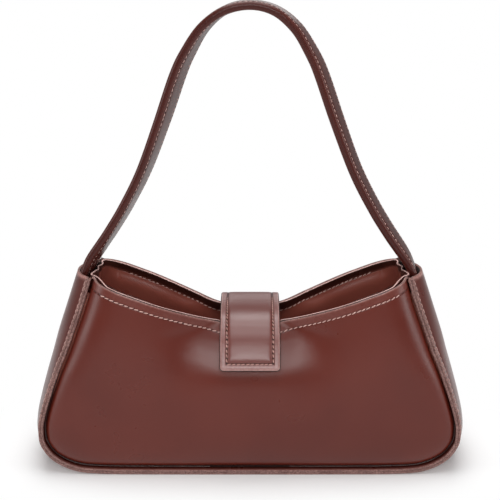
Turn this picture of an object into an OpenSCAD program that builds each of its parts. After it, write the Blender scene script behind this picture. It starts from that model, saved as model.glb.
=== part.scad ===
// Baguette shoulder bag: two bowed panels, one gusset round three sides, a lined mouth
// with a low middle, a shoulder strap sewn into the gusset's ends, and a fold-over tab
// with a magnetic snap. X runs along the bag, the front faces -Y, Z is up, the floor is
// z = 0 and the origin is the middle of the base. Millimetres.

/* [Body] */
// Distance between the two top corners of a panel
mouth_w = 202; // [186:1:216]
// Width of the body at its widest, seam to seam
base_w = 269; // [250:1:290]
// Height of a panel's top corners above the floor
corner_h = 130.5; // [122:0.5:142]
// Height of the mouth's low middle, under the tab
dip_h = 100; // [94:0.5:108]
// Radius of the rounded lower corners
corner_r = 34; // [26:1:42]
// Depth of the gusset at the floor, seam edge to seam edge
base_d = 72; // [64:1:84]
// Depth of the gusset at the top corners, seam edge to seam edge
mouth_d = 46; // [43:1:54]
// Half the distance between the panels under the tab
dip_gap = 20.5; // [16:0.5:24]

/* [Swell of the soft walls] */
// How far the mouth bows out between the tab and a corner
mouth_bow = 13.8; // [8:0.2:18]
// How far a panel's middle swells out
panel_swell = 12.5; // [7:0.5:16]
// How far the gusset swells out at the lower corners
side_swell = 8; // [4:0.5:11]

/* [Leather and lining] */
// Thickness of the panel and gusset leather
leather_t = 1.6; // [1.2:0.1:2]
// Width of the raised seam edge, from its root to its cut edge
seam_lip = 4.5; // [3.5:0.25:6]
// Thickness of the padding behind a panel
padding_t = 1.8; // [1.3:0.1:2.4]
// Thickness of the facing round the inside of the mouth
facing_t = 1; // [0.7:0.1:1.3]
// Thickness of the lining below the facing
lining_t = 0.6; // [0.4:0.1:0.9]
// Thickness of the loose board on the bag's floor
board_t = 2; // [1.5:0.1:2.5]
// Room left round the loose board
board_room = 2.5; // [1.5:0.5:6]

/* [Tab] */
// Width of the fold-over tab
tab_w = 38; // [32:1:42]
// Thickness of the tab's cover leather
tab_cover_t = 1.3; // [1:0.1:1.6]
// Thickness of the stiffener inside the tab
tab_core_t = 1.4; // [1.3:0.1:1.8]
// Thickness of the tab's backing leather
tab_backing_t = 1.2; // [1:0.1:1.5]
// How far the tab reaches below the middle of its snap
tab_reach = 11; // [10:0.5:14]
// Room between the mouth's edge and the tab above it
tab_room = 4; // [1:0.5:5]

/* [Snap] */
// Diameter of both halves of the snap
snap_d = 16; // [14:0.5:18]
// Height of the magnet half above the panel
magnet_h = 2.4; // [1.8:0.1:3]
// Height of the plate half under the tab
plate_h = 1.2; // [0.9:0.1:1.6]
// Thickness of the washers that the prongs close on
washer_t = 0.4; // [0.3:0.05:0.5]

/* [Strap] */
// Width of the strap, front edge to back edge
strap_w = 22; // [18:0.5:23]
// Thickness of the strap
strap_t = 5.2; // [4.4:0.1:5.6]
// Height of the strap's top above the floor
strap_top = 301.5; // [270:0.5:330]
// Thickness of the leather round the strap's core
strap_skin = 1.1; // [0.8:0.1:1.4]
// Length of each sewn-in strap end, below the line that the strap swings on
strap_tuck = 28; // [22:0.5:31]
// Turn of the strap's legs about their own length, in degrees
strap_twist = 13; // [0:1:18]

/* [Hidden] */

leather_colour = "#6e3f38";
inside_colour = "#4a201b";
core_colour = "#3a1a16";
metal_colour = "#b9a27a";

ply_gap = 0.1;      // room between two layers that are glued or sewn together
soft_gap = 0.3;     // room where one soft piece rests on another
slope_t = 1.1;      // depth that a sloping wall takes, for each unit of its thickness
deg = 180 / PI;     // degrees in a radian

// Seam path, for x > 0: down the side, round the lower corner and in along the floor
arc_x = base_w / 2 - corner_r;
corner_x = mouth_w / 2;
corner_reach = norm([corner_x - arc_x, corner_h - corner_r]);
side_turn = atan2(corner_h - corner_r, corner_x - arc_x) - acos(corner_r / corner_reach);
side_len = sqrt(pow(corner_reach, 2) - pow(corner_r, 2));
arc_len = corner_r * (90 + side_turn) / deg;
half_len = side_len + arc_len + arc_x;
split_turn = 40;    // how far below level the side's rows hand over to the floor's columns
split_s = side_len + corner_r * (side_turn + split_turn) / deg;

// Wall rows run from the mouth (0) to the floor (1), columns from the middle (0) to a side (1)
rows = [0, 0.08, 0.26, 0.42, 0.58, 0.70, 0.77, 0.84, 0.92, 1];
half_cols = [0, 0.2, 0.34, 0.48, 0.62, 0.74, 0.80, 0.86, 0.93, 1];
last_row = len(rows) - 1;
last_col = len(half_cols) - 1;
cols = concat([for (i = [last_col : -1 : 1]) -half_cols[i]], half_cols);
flat_col = half_cols[1];    // the panels are flat from side to side as far as this column
facing_row = 2;             // the facing ends and the lining starts at this row
lap = 0.3;                  // gap between the facing's lower edge and the lining
wall_q = 2 * leather_t + ply_gap;   // the panels' walls lie this far inside the seam path

function lerp(a, b, t) = a + (b - a) * t;
function clamp(t) = min(1, max(0, t));
function smooth(t) = let (c = clamp(t)) c * c * (3 - 2 * c);
function sub(list, from, to) = [for (i = [from : to]) list[i]];
function reversed(list) = [for (i = [len(list) - 1 : -1 : 0]) list[i]];

// Direction and place of the seam path at length s, and q inside it, as x and z
function seam_angle(s) =
    s < side_len ? side_turn
    : s < side_len + arc_len ? side_turn - (s - side_len) / corner_r * deg
    : -90;
function seam_normal(s) = [cos(seam_angle(s)), sin(seam_angle(s))];
function seam_at(s, q = 0) =
    let (n = seam_normal(s))
    s < side_len
        ? [corner_x + s * sin(side_turn), corner_h - s * cos(side_turn)] - q * n
    : s < side_len + arc_len ? [arc_x, corner_r] + (corner_r - q) * n
    : [half_len - s, q];
function on_seam(s, side, q, y) = let (p = seam_at(s, q)) [side * p[0], y, p[1]];

// Half the depth of the bag at the seam's cut edge, and at the seam's root
function edge_depth(s) =
    base_d / 2 - (base_d - mouth_d) / 2 * pow(max(0, seam_at(s)[1]) / corner_h, 2);
function root_depth(s) = edge_depth(s) - seam_lip;

// The strap swings on a line just above both ends of the gusset. It may turn as far as
// swing_turn before its lower edge would reach the gusset's cut end.
swing_turn = 60;
swing_room = 1.2;   // room between the turned strap and the gusset's cut end
strap_seat = 0.5;   // room between the seam's plane and the strap's inner face
axis_out = 0.9;     // distance of the swing line outside the middle of the sewn-in end
strap_axis_z = corner_h + strap_w / 2 * tan(90 - swing_turn) + swing_room;
strap_axis_x = corner_x + strap_seat + strap_t / 2 + axis_out;

// Swell of the gusset. At its top it makes room for the sewn-in strap end.
strap_room = strap_seat + strap_t + 2 * soft_gap + 1.35 * leather_t;
top_swell = strap_room / (1 - pow(strap_w / 2 / root_depth(0), 2));
function crown(s) =
    pow(max(0, seam_normal(s)[0]), 2)
    * lerp(side_swell, top_swell / pow(cos(side_turn), 2), pow(clamp(seam_at(s)[1] / corner_h), 2));
function gusset_q(s, y) =
    let (root = root_depth(s)) abs(y) >= root ? 0 : -crown(s) * (1 - pow(y / root, 2));
function gusset_slope(s, y) =
    let (root = root_depth(s)) abs(y) >= root ? 1 : sqrt(1 + pow(2 * crown(s) * y / root / root, 2));

// A panel's outline, filled in by blending its four edges
dip_x = tab_w / 2 + 1.2;    // the mouth starts to rise just outside the tab
function wall_s(u, v) = abs(u) == 1 ? v * split_s : half_len - abs(u) * (half_len - split_s);
function mouth_at(u) =
    let (corner = seam_at(0, wall_q), x = abs(u) * corner[0])
    [u * corner[0], lerp(dip_h, corner[1], clamp((x - dip_x) / (corner[0] - dip_x)))];
function floor_at(u) = let (p = seam_at(wall_s(u, 1), wall_q)) [u < 0 ? -p[0] : p[0], p[1]];
function wall_xz(u, v) =
    let (side = seam_at(v * split_s, wall_q), top = seam_at(0, wall_q), low = seam_at(split_s, wall_q),
         m = mouth_at(u), f = floor_at(u))
    [lerp(m[0], f[0], v) + u * side[0] - u * lerp(top[0], low[0], v),
     lerp(m[1], f[1], v) + side[1] - lerp(top[1], low[1], v)];

// Half the depth of the bag at a panel's outer face
function from_flat(u) = clamp((abs(u) - flat_col) / (1 - flat_col));
function mouth_bow_at(u) =
    let (t = from_flat(u)) t == 0 || t == 1 ? 0 : mouth_bow * pow(sin(180 * pow(t, 1.35)), 0.7);
function wall_depth(u, v) =
    let (top_root = root_depth(0), low_root = root_depth(split_s), middle = 1 - from_flat(u),
         mouth = lerp(top_root, dip_gap, middle),
         base = lerp(low_root, root_depth(half_len), middle))
    lerp(mouth, base, v) + root_depth(v * split_s) - lerp(top_root, low_root, v)
    + mouth_bow_at(u) * pow(1 - v, 2.5)
    + panel_swell * (1 - pow(1 - v, 6)) * (1 - pow(v, 5)) * (1 - pow(from_flat(u), 6));

// One point of a wall layer, `inset` behind the outer face; `spread` moves edge points outwards
function wall_point(u, v, inset, spread = 0) =
    let (p = wall_xz(u, v), n = seam_normal(wall_s(u, v)), k = abs(u) == 1 || v == 1 ? spread : 0)
    [p[0] + k * (u < 0 ? -n[0] : n[0]), inset * slope_t - wall_depth(u, v), p[1] + k * n[1]];

// A closed sheet between two grids of points, given row by row
module sheet(outer, inner) {
    r = len(outer);
    c = len(outer[0]);
    n = r * c;
    low = (r - 1) * c;
    function quad(i, j, k, l) = [[i, j, k], [i, k, l]];
    polyhedron(concat([for (row = outer) each row], [for (row = inner) each row]), concat(
        [for (i = [0 : r - 2], j = [0 : c - 2]) let (k = i * c + j) each quad(k, k + 1, k + c + 1, k + c)],
        [for (i = [0 : r - 2], j = [0 : c - 2]) let (k = n + i * c + j) each quad(k, k + c, k + c + 1, k + 1)],
        [for (j = [0 : c - 2]) each quad(j + 1, j, n + j, n + j + 1)],
        [for (j = [0 : c - 2]) let (k = low + j) each quad(k, k + 1, n + k + 1, n + k)],
        [for (i = [0 : r - 2]) let (k = i * c) each quad(k, k + c, n + k + c, n + k)],
        [for (i = [0 : r - 2]) let (k = i * c + c - 1) each quad(k + c, k, n + k, n + k + c)]),
        convexity = 8);
}

// Panel leather: round three sides it turns forwards into a lip against the gusset's edge
lip_step = 2;       // distance of the lip's points from the split of the grid, along the seam
function lip_at(s, side, q) = on_seam(s, side, q, -edge_depth(s));
function panel_row(v, q, inset) =
    let (s = v * split_s - (v == 1 ? lip_step : 0))
    concat([lip_at(s, -1, q)], [for (u = cols) wall_point(u, v, inset, wall_q - q)], [lip_at(s, 1, q)]);
function panel_floor_lip(q) = concat(
    [lip_at(split_s, -1, q)],
    [for (u = cols) lip_at(wall_s(u * 0.9999, 1) + (abs(u) == 1 ? lip_step : 0), u < 0 ? -1 : 1, q)],
    [lip_at(split_s, 1, q)]);
function panel_face(q, inset) =
    concat([for (v = rows) panel_row(v, q, inset)], [panel_floor_lip(q)]);
module panel_leather() {
    sheet(panel_face(wall_q, 0), panel_face(wall_q - leather_t, leather_t));
}

// Padding between the panel leather and its lining, short of every sewn edge
pad_inset = leather_t + ply_gap;
module panel_padding() {
    v_list = sub(rows, 1, last_row - 1);
    u_list = sub(cols, 1, len(cols) - 2);
    sheet([for (v = v_list) [for (u = u_list) wall_point(u, v, pad_inset)]],
          [for (v = v_list) [for (u = u_list) wall_point(u, v, pad_inset + padding_t)]]);
}

// Facing or lining of a panel, over the padding
function padded(u, v) = abs(u) < 1 && v >= rows[1] && v < 1;
function lining_inset(u, v) = pad_inset + (padded(u, v) ? padding_t + ply_gap : 0);
module wall_lining(v_list, t) {
    sheet([for (v = v_list) [for (u = cols) wall_point(u, v, lining_inset(u, v))]],
          [for (v = v_list) [for (u = cols) wall_point(u, v, lining_inset(u, v) + t)]]);
}
module panel_facing() {
    wall_lining(sub(rows, 0, facing_row), facing_t);
}
module panel_lining() {
    first = rows[facing_row] + lap / corner_h;
    wall_lining(concat([first], sub(rows, facing_row + 1, last_row)), lining_t);
}

// Stations along the whole seam, which match the panels' lips
half_stations = concat(
    [for (v = rows) v * split_s],
    [for (i = [last_col - 1 : -1 : 0]) half_len - half_cols[i] * (half_len - split_s)]);
function both_sides(list) = concat(
    [for (s = list) [s, 1]], [for (s = sub(reversed(list), 1, len(list) - 1)) [s, -1]]);
across = [0.35, 0.65, 0.88];
function across_points(root) = concat(
    [-root], [for (k = reversed(across)) -k * root], [0], [for (k = across) k * root], [root]);

// Gusset leather: swelled between the seams, flat at both edges, cut level at both ends
function gusset_point(s, side, y, depth) =
    let (q = gusset_q(s, y) + depth * gusset_slope(s, y)) on_seam(s == 0 ? -q * tan(side_turn) : s, side, q, y);
module gusset_leather() {
    stations = both_sides(half_stations);
    function ys(s) = concat([-edge_depth(s)], across_points(root_depth(s)), [edge_depth(s)]);
    sheet([for (k = stations) [for (y = ys(k[0])) gusset_point(k[0], k[1], y, 0)]],
          [for (k = stations) [for (y = ys(k[0])) gusset_point(k[0], k[1], y, leather_t)]]);
}

// Lining inside the gusset, between the two seams' roots
lining_edge = leather_t * slope_t + 2 * ply_gap;
facing_end = rows[facing_row] * split_s;
function lined_q(s, y, t) = gusset_q(s, y) + (leather_t + soft_gap + t) * gusset_slope(s, y);
function lining_ys(s) = across_points(root_depth(s) - lining_edge);
module gusset_inside() {
    stations = both_sides(concat([facing_end + lap], [for (s = half_stations) if (s > facing_end + lap) s]));
    sheet([for (k = stations) [for (y = lining_ys(k[0])) on_seam(k[0], k[1], lined_q(k[0], y, 0), y)]],
          [for (k = stations) [for (y = lining_ys(k[0])) on_seam(k[0], k[1], lined_q(k[0], y, lining_t), y)]]);
}

// Side facing: flat behind the sewn-in strap end, then out to meet the gusset's lining
facing_drop = 3;    // the side facings stop this far below the panels' corners
facing_seat = 0.2;  // room between the seam's plane and a side facing
tuck_s = (strap_tuck - (strap_axis_z - corner_h)) / cos(side_turn);
module side_facing() {
    top_s = facing_drop / cos(side_turn);
    flat_s = tuck_s + 1.5;
    stations = [top_s, lerp(top_s, flat_s, 0.5), flat_s, lerp(flat_s, facing_end, 0.5), facing_end];
    function facing_q(s, y, t) =
        lerp(facing_seat + t, lined_q(s, y, t), smooth((s - flat_s) / (facing_end - flat_s)));
    sheet([for (s = stations) [for (y = lining_ys(s)) on_seam(s, 1, facing_q(s, y, 0), y)]],
          [for (s = stations) [for (y = lining_ys(s)) on_seam(s, 1, facing_q(s, y, facing_t), y)]]);
}

// Middle line of a panel, as depth and height, and the flat stretch that the snap sits on
function middle_at(v) = [wall_depth(0, v), wall_xz(0, v)[1]];
flat_top = middle_at(rows[1]);
flat_low = middle_at(rows[2]);
flat_mid = (flat_top + flat_low) / 2;
flat_lean = atan2(flat_low[0] - flat_top[0], flat_top[1] - flat_low[1]);
function flat_t(t) = t * slope_t * cos(flat_lean);      // a wall thickness, square to the flat
// Stands its children on the front panel's flat stretch: Z out of the leather, Y up along it
module on_front_flat() {
    translate([0, -flat_mid[0], flat_mid[1]]) rotate([90 - flat_lean, 0, 0]) children();
}

// The tab turns on two fold lines along X, both at one height
tab_t = tab_cover_t + tab_core_t + tab_backing_t + 2 * ply_gap;
fold_r = tab_t / 2;
fold_z = dip_h + tab_room + fold_r;
flap_base = magnet_h + plate_h + ply_gap;       // the flap's inner face above the panel
flap_mid = flap_base + fold_r;
flap_up = (fold_z - flat_mid[1] - flap_mid * sin(flat_lean)) / cos(flat_lean);
front_fold_y = -flat_mid[0] + flap_up * sin(flat_lean) - flap_mid * cos(flat_lean);
root_mid = soft_gap + fold_r;
root_up = (fold_z - flat_mid[1] - root_mid * sin(flat_lean)) / cos(flat_lean);
back_fold_y = flat_mid[0] - root_up * sin(flat_lean) + root_mid * cos(flat_lean);
fold_gap = 0.3;             // room between a fold's rounded edge and its cup
cup_stop = fold_r;          // how close a cupped end comes to its fold line
cover_stop = 0.3 * fold_r;  // how close the cover of a rounded end comes to its fold line
ply_stop = fold_r + ply_gap;

// The three plies, by their distance from the tab's inner face
backing_span = [0, tab_backing_t];
core_span = [tab_backing_t + ply_gap, tab_backing_t + ply_gap + tab_core_t];
cover_span = [tab_t - tab_cover_t, tab_t];

module fold_rod(r) {
    rotate([0, 90, 0]) cylinder(r = r, h = tab_w, center = true, $fn = 48);
}
module fold_cup() {
    rotate([0, 90, 0]) cylinder(r = fold_r + fold_gap, h = 2 * tab_w, center = true, $fn = 48);
}
module at_front_fold() {
    translate([0, front_fold_y, fold_z]) children();
}
module at_back_fold() {
    translate([0, back_fold_y, fold_z]) children();
}
// A straight ply between two places along Y
module tab_ply(span, from, to) {
    translate([-tab_w / 2, from, span[0]]) cube([tab_w, to - from, span[1] - span[0]]);
}

// Flap over the snap. Its cover ends in a rounded edge on the front fold line.
module on_flap() {
    on_front_flat() translate([0, 0, flap_base]) children();
}
module flap_ply(span, stop) {
    on_flap() tab_ply(span, -tab_reach, flap_up - stop);
}
module tab_flap_cover() {
    color(leather_colour) {
        flap_ply(cover_span, cover_stop);
        at_front_fold() fold_rod(fold_r);
    }
}
module tab_flap_core() {
    color(core_colour) difference() {
        flap_ply(core_span, ply_stop);
        on_flap() cylinder(r = washer_r + washer_room, h = 4 * tab_t, center = true, $fn = 64);
    }
}
module tab_flap_backing() {
    color(leather_colour) difference() {
        flap_ply(backing_span, ply_stop);
        on_flap() prong_slots();
    }
}

// Bridge over the mouth, cupped round the flap's edge, with its own rounded edge at the back
module bridge_ply(span, stop) {
    difference() {
        translate([0, 0, fold_z - fold_r]) tab_ply(span, front_fold_y + cup_stop, back_fold_y - stop);
        at_front_fold() fold_cup();
    }
}
module tab_bridge_cover() {
    color(leather_colour) {
        bridge_ply(cover_span, cover_stop);
        at_back_fold() fold_rod(fold_r);
    }
}
module tab_bridge_core() {
    color(core_colour) bridge_ply(core_span, ply_stop);
}
module tab_bridge_backing() {
    color(leather_colour) bridge_ply(backing_span, ply_stop);
}

// Root of the tab: it follows the back panel's middle line down from the back fold
root_line = [
    flat_mid + root_up * [-sin(flat_lean), cos(flat_lean)],
    flat_low,
    middle_at(rows[facing_row + 1])
];
// The line moved outwards by d, with mitred corners
function moved_out(line, d) =
    let (n = [for (i = [0 : len(line) - 2]) let (t = line[i + 1] - line[i]) [-t[1], t[0]] / norm(t)])
    [for (i = [0 : len(line) - 1])
        let (a = n[max(0, i - 1)], b = n[min(len(n) - 1, i)], m = (a + b) / norm(a + b))
        line[i] + m * d / (m * a)];
module root_ply(span) {
    difference() {
        rotate([90, 0, 90]) linear_extrude(tab_w, center = true) polygon(concat(
            moved_out(root_line, soft_gap + span[0]),
            reversed(moved_out(root_line, soft_gap + span[1]))));
        at_back_fold() fold_cup();
        at_back_fold() rotate([flat_lean, 0, 0])
            translate([0, 0, 2 * tab_t - cup_stop]) cube([2 * tab_w, 4 * tab_t, 4 * tab_t], center = true);
    }
}
module tab_root_cover() {
    color(leather_colour) root_ply(cover_span);
}
module tab_root_core() {
    color(core_colour) root_ply(core_span);
}
module tab_root_backing() {
    color(leather_colour) root_ply(backing_span);
}

// Snap: a magnet on the panel and a plate under the tab, each held by two prongs that
// pass through the leather and fold outwards over a washer
prong_w = 3;
prong_t = 0.5;
prong_x = 3;        // distance of a prong from the snap's middle
prong_out = 2.2;    // length of a prong's folded end
dish_r = 4.2;       // dished middle of the magnet, which takes the plate's boss
dish_t = 0.9;
boss_room = 0.35;   // room round the boss, and 0.7 of it below
washer_r = snap_d / 2 - 2;
washer_room = 1;
module prong_slots() {
    for (sx = [-1, 1])
        translate([sx * prong_x, 0, 0])
            cube([prong_t + 2 * ply_gap, prong_w + 2 * ply_gap, 4 * leather_t], center = true);
}
// Prongs that leave z = 0 downwards, pass `depth` and fold outwards
module prongs(depth) {
    for (sx = [-1, 1]) {
        translate([sx * prong_x - prong_t / 2, -prong_w / 2, -depth - prong_t])
            cube([prong_t, prong_w, depth + prong_t]);
        translate([sx * (prong_x + prong_out / 2), 0, -depth - prong_t / 2])
            cube([prong_out, prong_w, prong_t], center = true);
    }
}
module washer() {
    difference() {
        cylinder(r = washer_r, h = washer_t, $fn = 64);
        prong_slots();
    }
}
module snap_magnet() {
    color(metal_colour) on_front_flat() {
        difference() {
            translate([0, 0, ply_gap]) cylinder(r = snap_d / 2, h = magnet_h - ply_gap, $fn = 64);
            translate([0, 0, magnet_h - dish_t])
                cylinder(r1 = dish_r - 2 * dish_t, r2 = dish_r, h = dish_t, $fn = 48);
        }
        translate([0, 0, ply_gap]) prongs(flat_t(leather_t) + washer_t + 3 * ply_gap);
    }
}
module snap_magnet_washer() {
    color(metal_colour) on_front_flat()
        translate([0, 0, -flat_t(leather_t) - washer_t - ply_gap]) washer();
}
module snap_plate() {
    face_z = magnet_h + ply_gap / 2;
    boss_h = dish_t - 0.7 * boss_room;
    color(metal_colour) on_front_flat() {
        translate([0, 0, face_z]) cylinder(r = snap_d / 2, h = plate_h, $fn = 64);
        translate([0, 0, face_z - boss_h])
            cylinder(r1 = dish_r - boss_room - 2 * boss_h, r2 = dish_r - boss_room, h = boss_h, $fn = 48);
        translate([0, 0, face_z + plate_h]) mirror([0, 0, 1])
            prongs(tab_backing_t + washer_t + 3 * ply_gap);
    }
}
module snap_plate_washer() {
    color(metal_colour) on_flap() translate([0, 0, tab_backing_t + ply_gap]) washer();
}

// Strap: one band from swing line to swing line, with a round end below each
strap_half = strap_w / 2;
end_gap = 0.4;      // room between a round strap end and its hollow
end_turns = [58, 46, 32, 16];   // places round a strap end, as degrees from its widest line
leg_pull = [0.57, 0.45];    // first control point of a leg, as shares of its width and height
crest_pull = 0.51;          // second control point, as a share of its width
leg_steps = 13;
leg = [
    [strap_axis_x, strap_axis_z],
    [strap_axis_x * (1 - leg_pull[0]), lerp(strap_axis_z, strap_top - strap_t / 2, leg_pull[1])],
    [strap_axis_x * crest_pull, strap_top - strap_t / 2],
    [0, strap_top - strap_t / 2]
];
function leg_at(t) =
    pow(1 - t, 3) * leg[0] + 3 * pow(1 - t, 2) * t * leg[1] + 3 * (1 - t) * t * t * leg[2] + pow(t, 3) * leg[3];
function leg_direction(t) =
    let (d = pow(1 - t, 2) * (leg[1] - leg[0]) + 2 * (1 - t) * t * (leg[2] - leg[1]) + t * t * (leg[3] - leg[2]))
    d / norm(d);

// Both legs turn the same way, seen from above, and lie square to Y at the ends and the crest
function twist_at(t, side) = side * strap_twist * pow(sin(180 * pow(t, 0.7)), 2);

// One ring of the band at t up a leg and `sink` below that, from an outline of points that
// hold the place across the strap's width and the place through its thickness
function strap_ring(outline, t, sink, side) =
    let (d = leg_direction(t), c = leg_at(t) - sink * d, a = twist_at(t, side))
    [for (p = outline)
        let (across = p[0] * cos(a) - p[1] * sin(a), out = p[0] * sin(a) + p[1] * cos(a))
        [side * (c[0] + out * d[1]), across, c[1] - out * d[0]]];
module strap_band(outline_at) {
    stations = concat([for (a = end_turns) [0, strap_half * sin(a)]], [for (i = [0 : leg_steps]) [i / leg_steps, 0]]);
    other_leg = sub(reversed(stations), 1, len(stations) - 1);
    rings = concat([for (k = stations) strap_ring(outline_at(k[1]), k[0], k[1], 1)],
                   [for (k = other_leg) strap_ring(outline_at(k[1]), k[0], k[1], -1)]);
    m = len(rings[0]);
    n = len(rings);
    outline = outline_at(0);
    // every face is split the same way, so that layers that lie together stay clear
    function rises(p, q) = p[0] == q[0] ? q[1] > p[1] : q[0] > p[0];
    function faces(a, b, up) = up ? [[a, b, b + m], [a, b + m, a + m]] : [[a, b, a + m], [b, b + m, a + m]];
    polyhedron([for (ring = rings) each ring], concat(
        [for (i = [0 : n - 2], j = [0 : m - 1]) let (k = (j + 1) % m)
            each faces(i * m + j, i * m + k, rises(outline[j], outline[k]))],
        [[for (j = [m - 1 : -1 : 0]) j], [for (j = [0 : m - 1]) (n - 1) * m + j]]), convexity = 8);
}

strap_pocket = strap_half - strap_skin;
edge_round = 0.35 * strap_t;
function narrowed(r, sink) = sqrt(r * r - sink * sink);
// The cover goes over the outer face and round both edges
function cover_outline(sink) =
    let (w = narrowed(strap_half, sink), p = narrowed(strap_pocket, sink), t = strap_t / 2,
         e = min(edge_round, (w - p) * 0.9))
    [[-w, -t], [-p, -t], [-p, t - strap_skin], [p, t - strap_skin], [p, -t], [w, -t],
     [w, t - e], [w - 0.3 * e, t - 0.3 * e], [w - e, t],
     [e - w, t], [0.3 * e - w, t - 0.3 * e], [-w, t - e]];
function ply_outline(span, sink) =
    let (w = narrowed(strap_pocket - ply_gap, sink))
    [[-w, span[0]], [w, span[0]], [w, span[1]], [-w, span[1]]];
module strap_cover() {
    color(leather_colour) strap_band(function (sink) cover_outline(sink));
}
module strap_core() {
    span = [strap_skin + ply_gap - strap_t / 2, strap_t / 2 - strap_skin - ply_gap];
    color(core_colour) strap_band(function (sink) ply_outline(span, sink));
}
module strap_backing() {
    span = [-strap_t / 2, strap_skin - strap_t / 2];
    color(leather_colour) strap_band(function (sink) ply_outline(span, sink));
}

// Sewn-in strap end, hollowed round the line that the strap swings on and cut off level
// where the edge of the turned strap leaves the hollow
end_top = strap_axis_z - strap_half * sin(swing_turn);
module strap_end() {
    difference() {
        translate([corner_x, 0, corner_h]) rotate([0, -side_turn, 0])
            translate([strap_seat, -strap_half, -tuck_s]) cube([strap_t, strap_w, tuck_s + strap_half]);
        translate([strap_axis_x, 0, strap_axis_z]) rotate([0, 90, 0])
            cylinder(r = strap_half + end_gap, h = 6 * strap_t, center = true, $fn = 96);
        translate([strap_axis_x, 0, end_top + 2 * strap_w])
            cube([6 * strap_t, 2 * strap_w, 4 * strap_w], center = true);
    }
}
module strap_end_left() {
    color(leather_colour) mirror([1, 0, 0]) strap_end();
}
module strap_end_right() {
    color(leather_colour) strap_end();
}

module front_panel() {
    color(leather_colour) difference() {
        panel_leather();
        on_front_flat() prong_slots();
    }
}
module back_panel() {
    color(leather_colour) mirror([0, 1, 0]) panel_leather();
}
module gusset() {
    color(leather_colour) gusset_leather();
}
module front_padding() {
    color(core_colour) difference() {
        panel_padding();
        on_front_flat() cylinder(r = washer_r + washer_room, h = 8 * padding_t, center = true, $fn = 64);
    }
}
module back_padding() {
    color(core_colour) mirror([0, 1, 0]) panel_padding();
}
module front_facing() {
    color(inside_colour) panel_facing();
}
module back_facing() {
    color(inside_colour) mirror([0, 1, 0]) panel_facing();
}
module left_facing() {
    color(inside_colour) mirror([1, 0, 0]) side_facing();
}
module right_facing() {
    color(inside_colour) side_facing();
}
module front_lining() {
    color(inside_colour) panel_lining();
}
module back_lining() {
    color(inside_colour) mirror([0, 1, 0]) panel_lining();
}
module gusset_lining() {
    color(inside_colour) gusset_inside();
}

// Loose board on the floor of the bag, with rounded corners
board_corner = 8;
board_l = 2 * (arc_x - board_room);
board_d = 2 * (root_depth(half_len) - slope_t * (lining_inset(0, rows[1]) + lining_t) - board_room);
module floor_board() {
    low = pad_inset + lining_t + soft_gap;
    color(core_colour) translate([0, 0, low]) linear_extrude(board_t) union() {
        square([board_l - 2 * board_corner, board_d], center = true);
        square([board_l, board_d - 2 * board_corner], center = true);
        for (sx = [-1, 1], sy = [-1, 1])
            translate([sx * (board_l / 2 - board_corner), sy * (board_d / 2 - board_corner)])
                circle(board_corner, $fn = 48);
    }
}

front_panel();
back_panel();
gusset();
front_padding();
back_padding();
front_facing();
back_facing();
left_facing();
right_facing();
front_lining();
back_lining();
gusset_lining();
floor_board();
strap_end_left();
strap_end_right();
strap_cover();
strap_core();
strap_backing();
tab_root_cover();
tab_root_core();
tab_root_backing();
tab_bridge_cover();
tab_bridge_core();
tab_bridge_backing();
tab_flap_cover();
tab_flap_core();
tab_flap_backing();
snap_magnet();
snap_magnet_washer();
snap_plate();
snap_plate_washer();
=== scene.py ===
# Small shoulder bag in smooth brown leather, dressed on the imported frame.
# Sizes in the dictionaries are millimetres, and meshes are made in metres.
import math
import bpy
import numpy as np
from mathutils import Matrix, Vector


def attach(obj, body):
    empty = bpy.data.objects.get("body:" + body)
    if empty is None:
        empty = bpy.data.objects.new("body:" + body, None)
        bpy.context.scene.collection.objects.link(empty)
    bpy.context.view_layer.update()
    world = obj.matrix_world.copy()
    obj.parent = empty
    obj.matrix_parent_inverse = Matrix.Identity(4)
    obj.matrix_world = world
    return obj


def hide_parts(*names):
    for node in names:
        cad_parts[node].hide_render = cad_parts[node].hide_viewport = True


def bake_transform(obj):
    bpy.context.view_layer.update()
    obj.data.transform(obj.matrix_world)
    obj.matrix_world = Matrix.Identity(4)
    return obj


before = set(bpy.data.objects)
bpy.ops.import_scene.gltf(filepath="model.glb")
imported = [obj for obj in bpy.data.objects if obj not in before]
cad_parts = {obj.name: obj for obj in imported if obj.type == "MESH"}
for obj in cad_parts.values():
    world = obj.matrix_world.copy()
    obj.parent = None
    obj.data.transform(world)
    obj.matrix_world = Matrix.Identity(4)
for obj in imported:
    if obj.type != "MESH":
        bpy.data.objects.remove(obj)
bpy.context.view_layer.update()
dice = np.random.default_rng(7)
mm = 0.001
print("frame loaded")


# Curves and small sums

def runLength(line):
    return np.r_[0, np.cumsum(np.linalg.norm(np.diff(line, axis=0), axis=1))]


def sample(places, run, table):
    # each column of the table at these places along its run
    return np.stack([np.interp(places, run, column) for column in np.transpose(table)], -1)


def evenLine(line, count):
    # the same line in even steps
    run = runLength(line)
    return sample(np.linspace(0, run[-1], count), run, line)


def smoothLine(points, count):
    # even steps along a rounded line through given points
    p = np.array(points, float)
    p = np.vstack([2 * p[0] - p[1], p, 2 * p[-1] - p[-2]])
    t = np.linspace(0, 1, 24, endpoint=False)[:, None]
    bits = [0.5 * (2 * b + (c - a) * t + (2 * a - 5 * b + 4 * c - d) * t ** 2
                   + (3 * b - a - 3 * c + d) * t ** 3)
            for a, b, c, d in zip(p, p[1:], p[2:], p[3:])]
    return evenLine(np.vstack(bits + [p[-2][None]]), count)


def lineToMiddle(points, fine, count):
    # a smooth line that ends on the bag's middle plane, where it meets its mirror image
    line = smoothLine(points + [(-x, z) for x, z in points[-2:-5:-1]], fine)
    return evenLine(line[:np.argmin(np.abs(line[:, 0])) + 1], count)


def unit(v):
    return v / np.maximum(np.linalg.norm(v, axis=-1, keepdims=True), 1e-9)


def ease(t):
    t = np.clip(t, 0, 1)
    return t * t * (3 - 2 * t)


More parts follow.
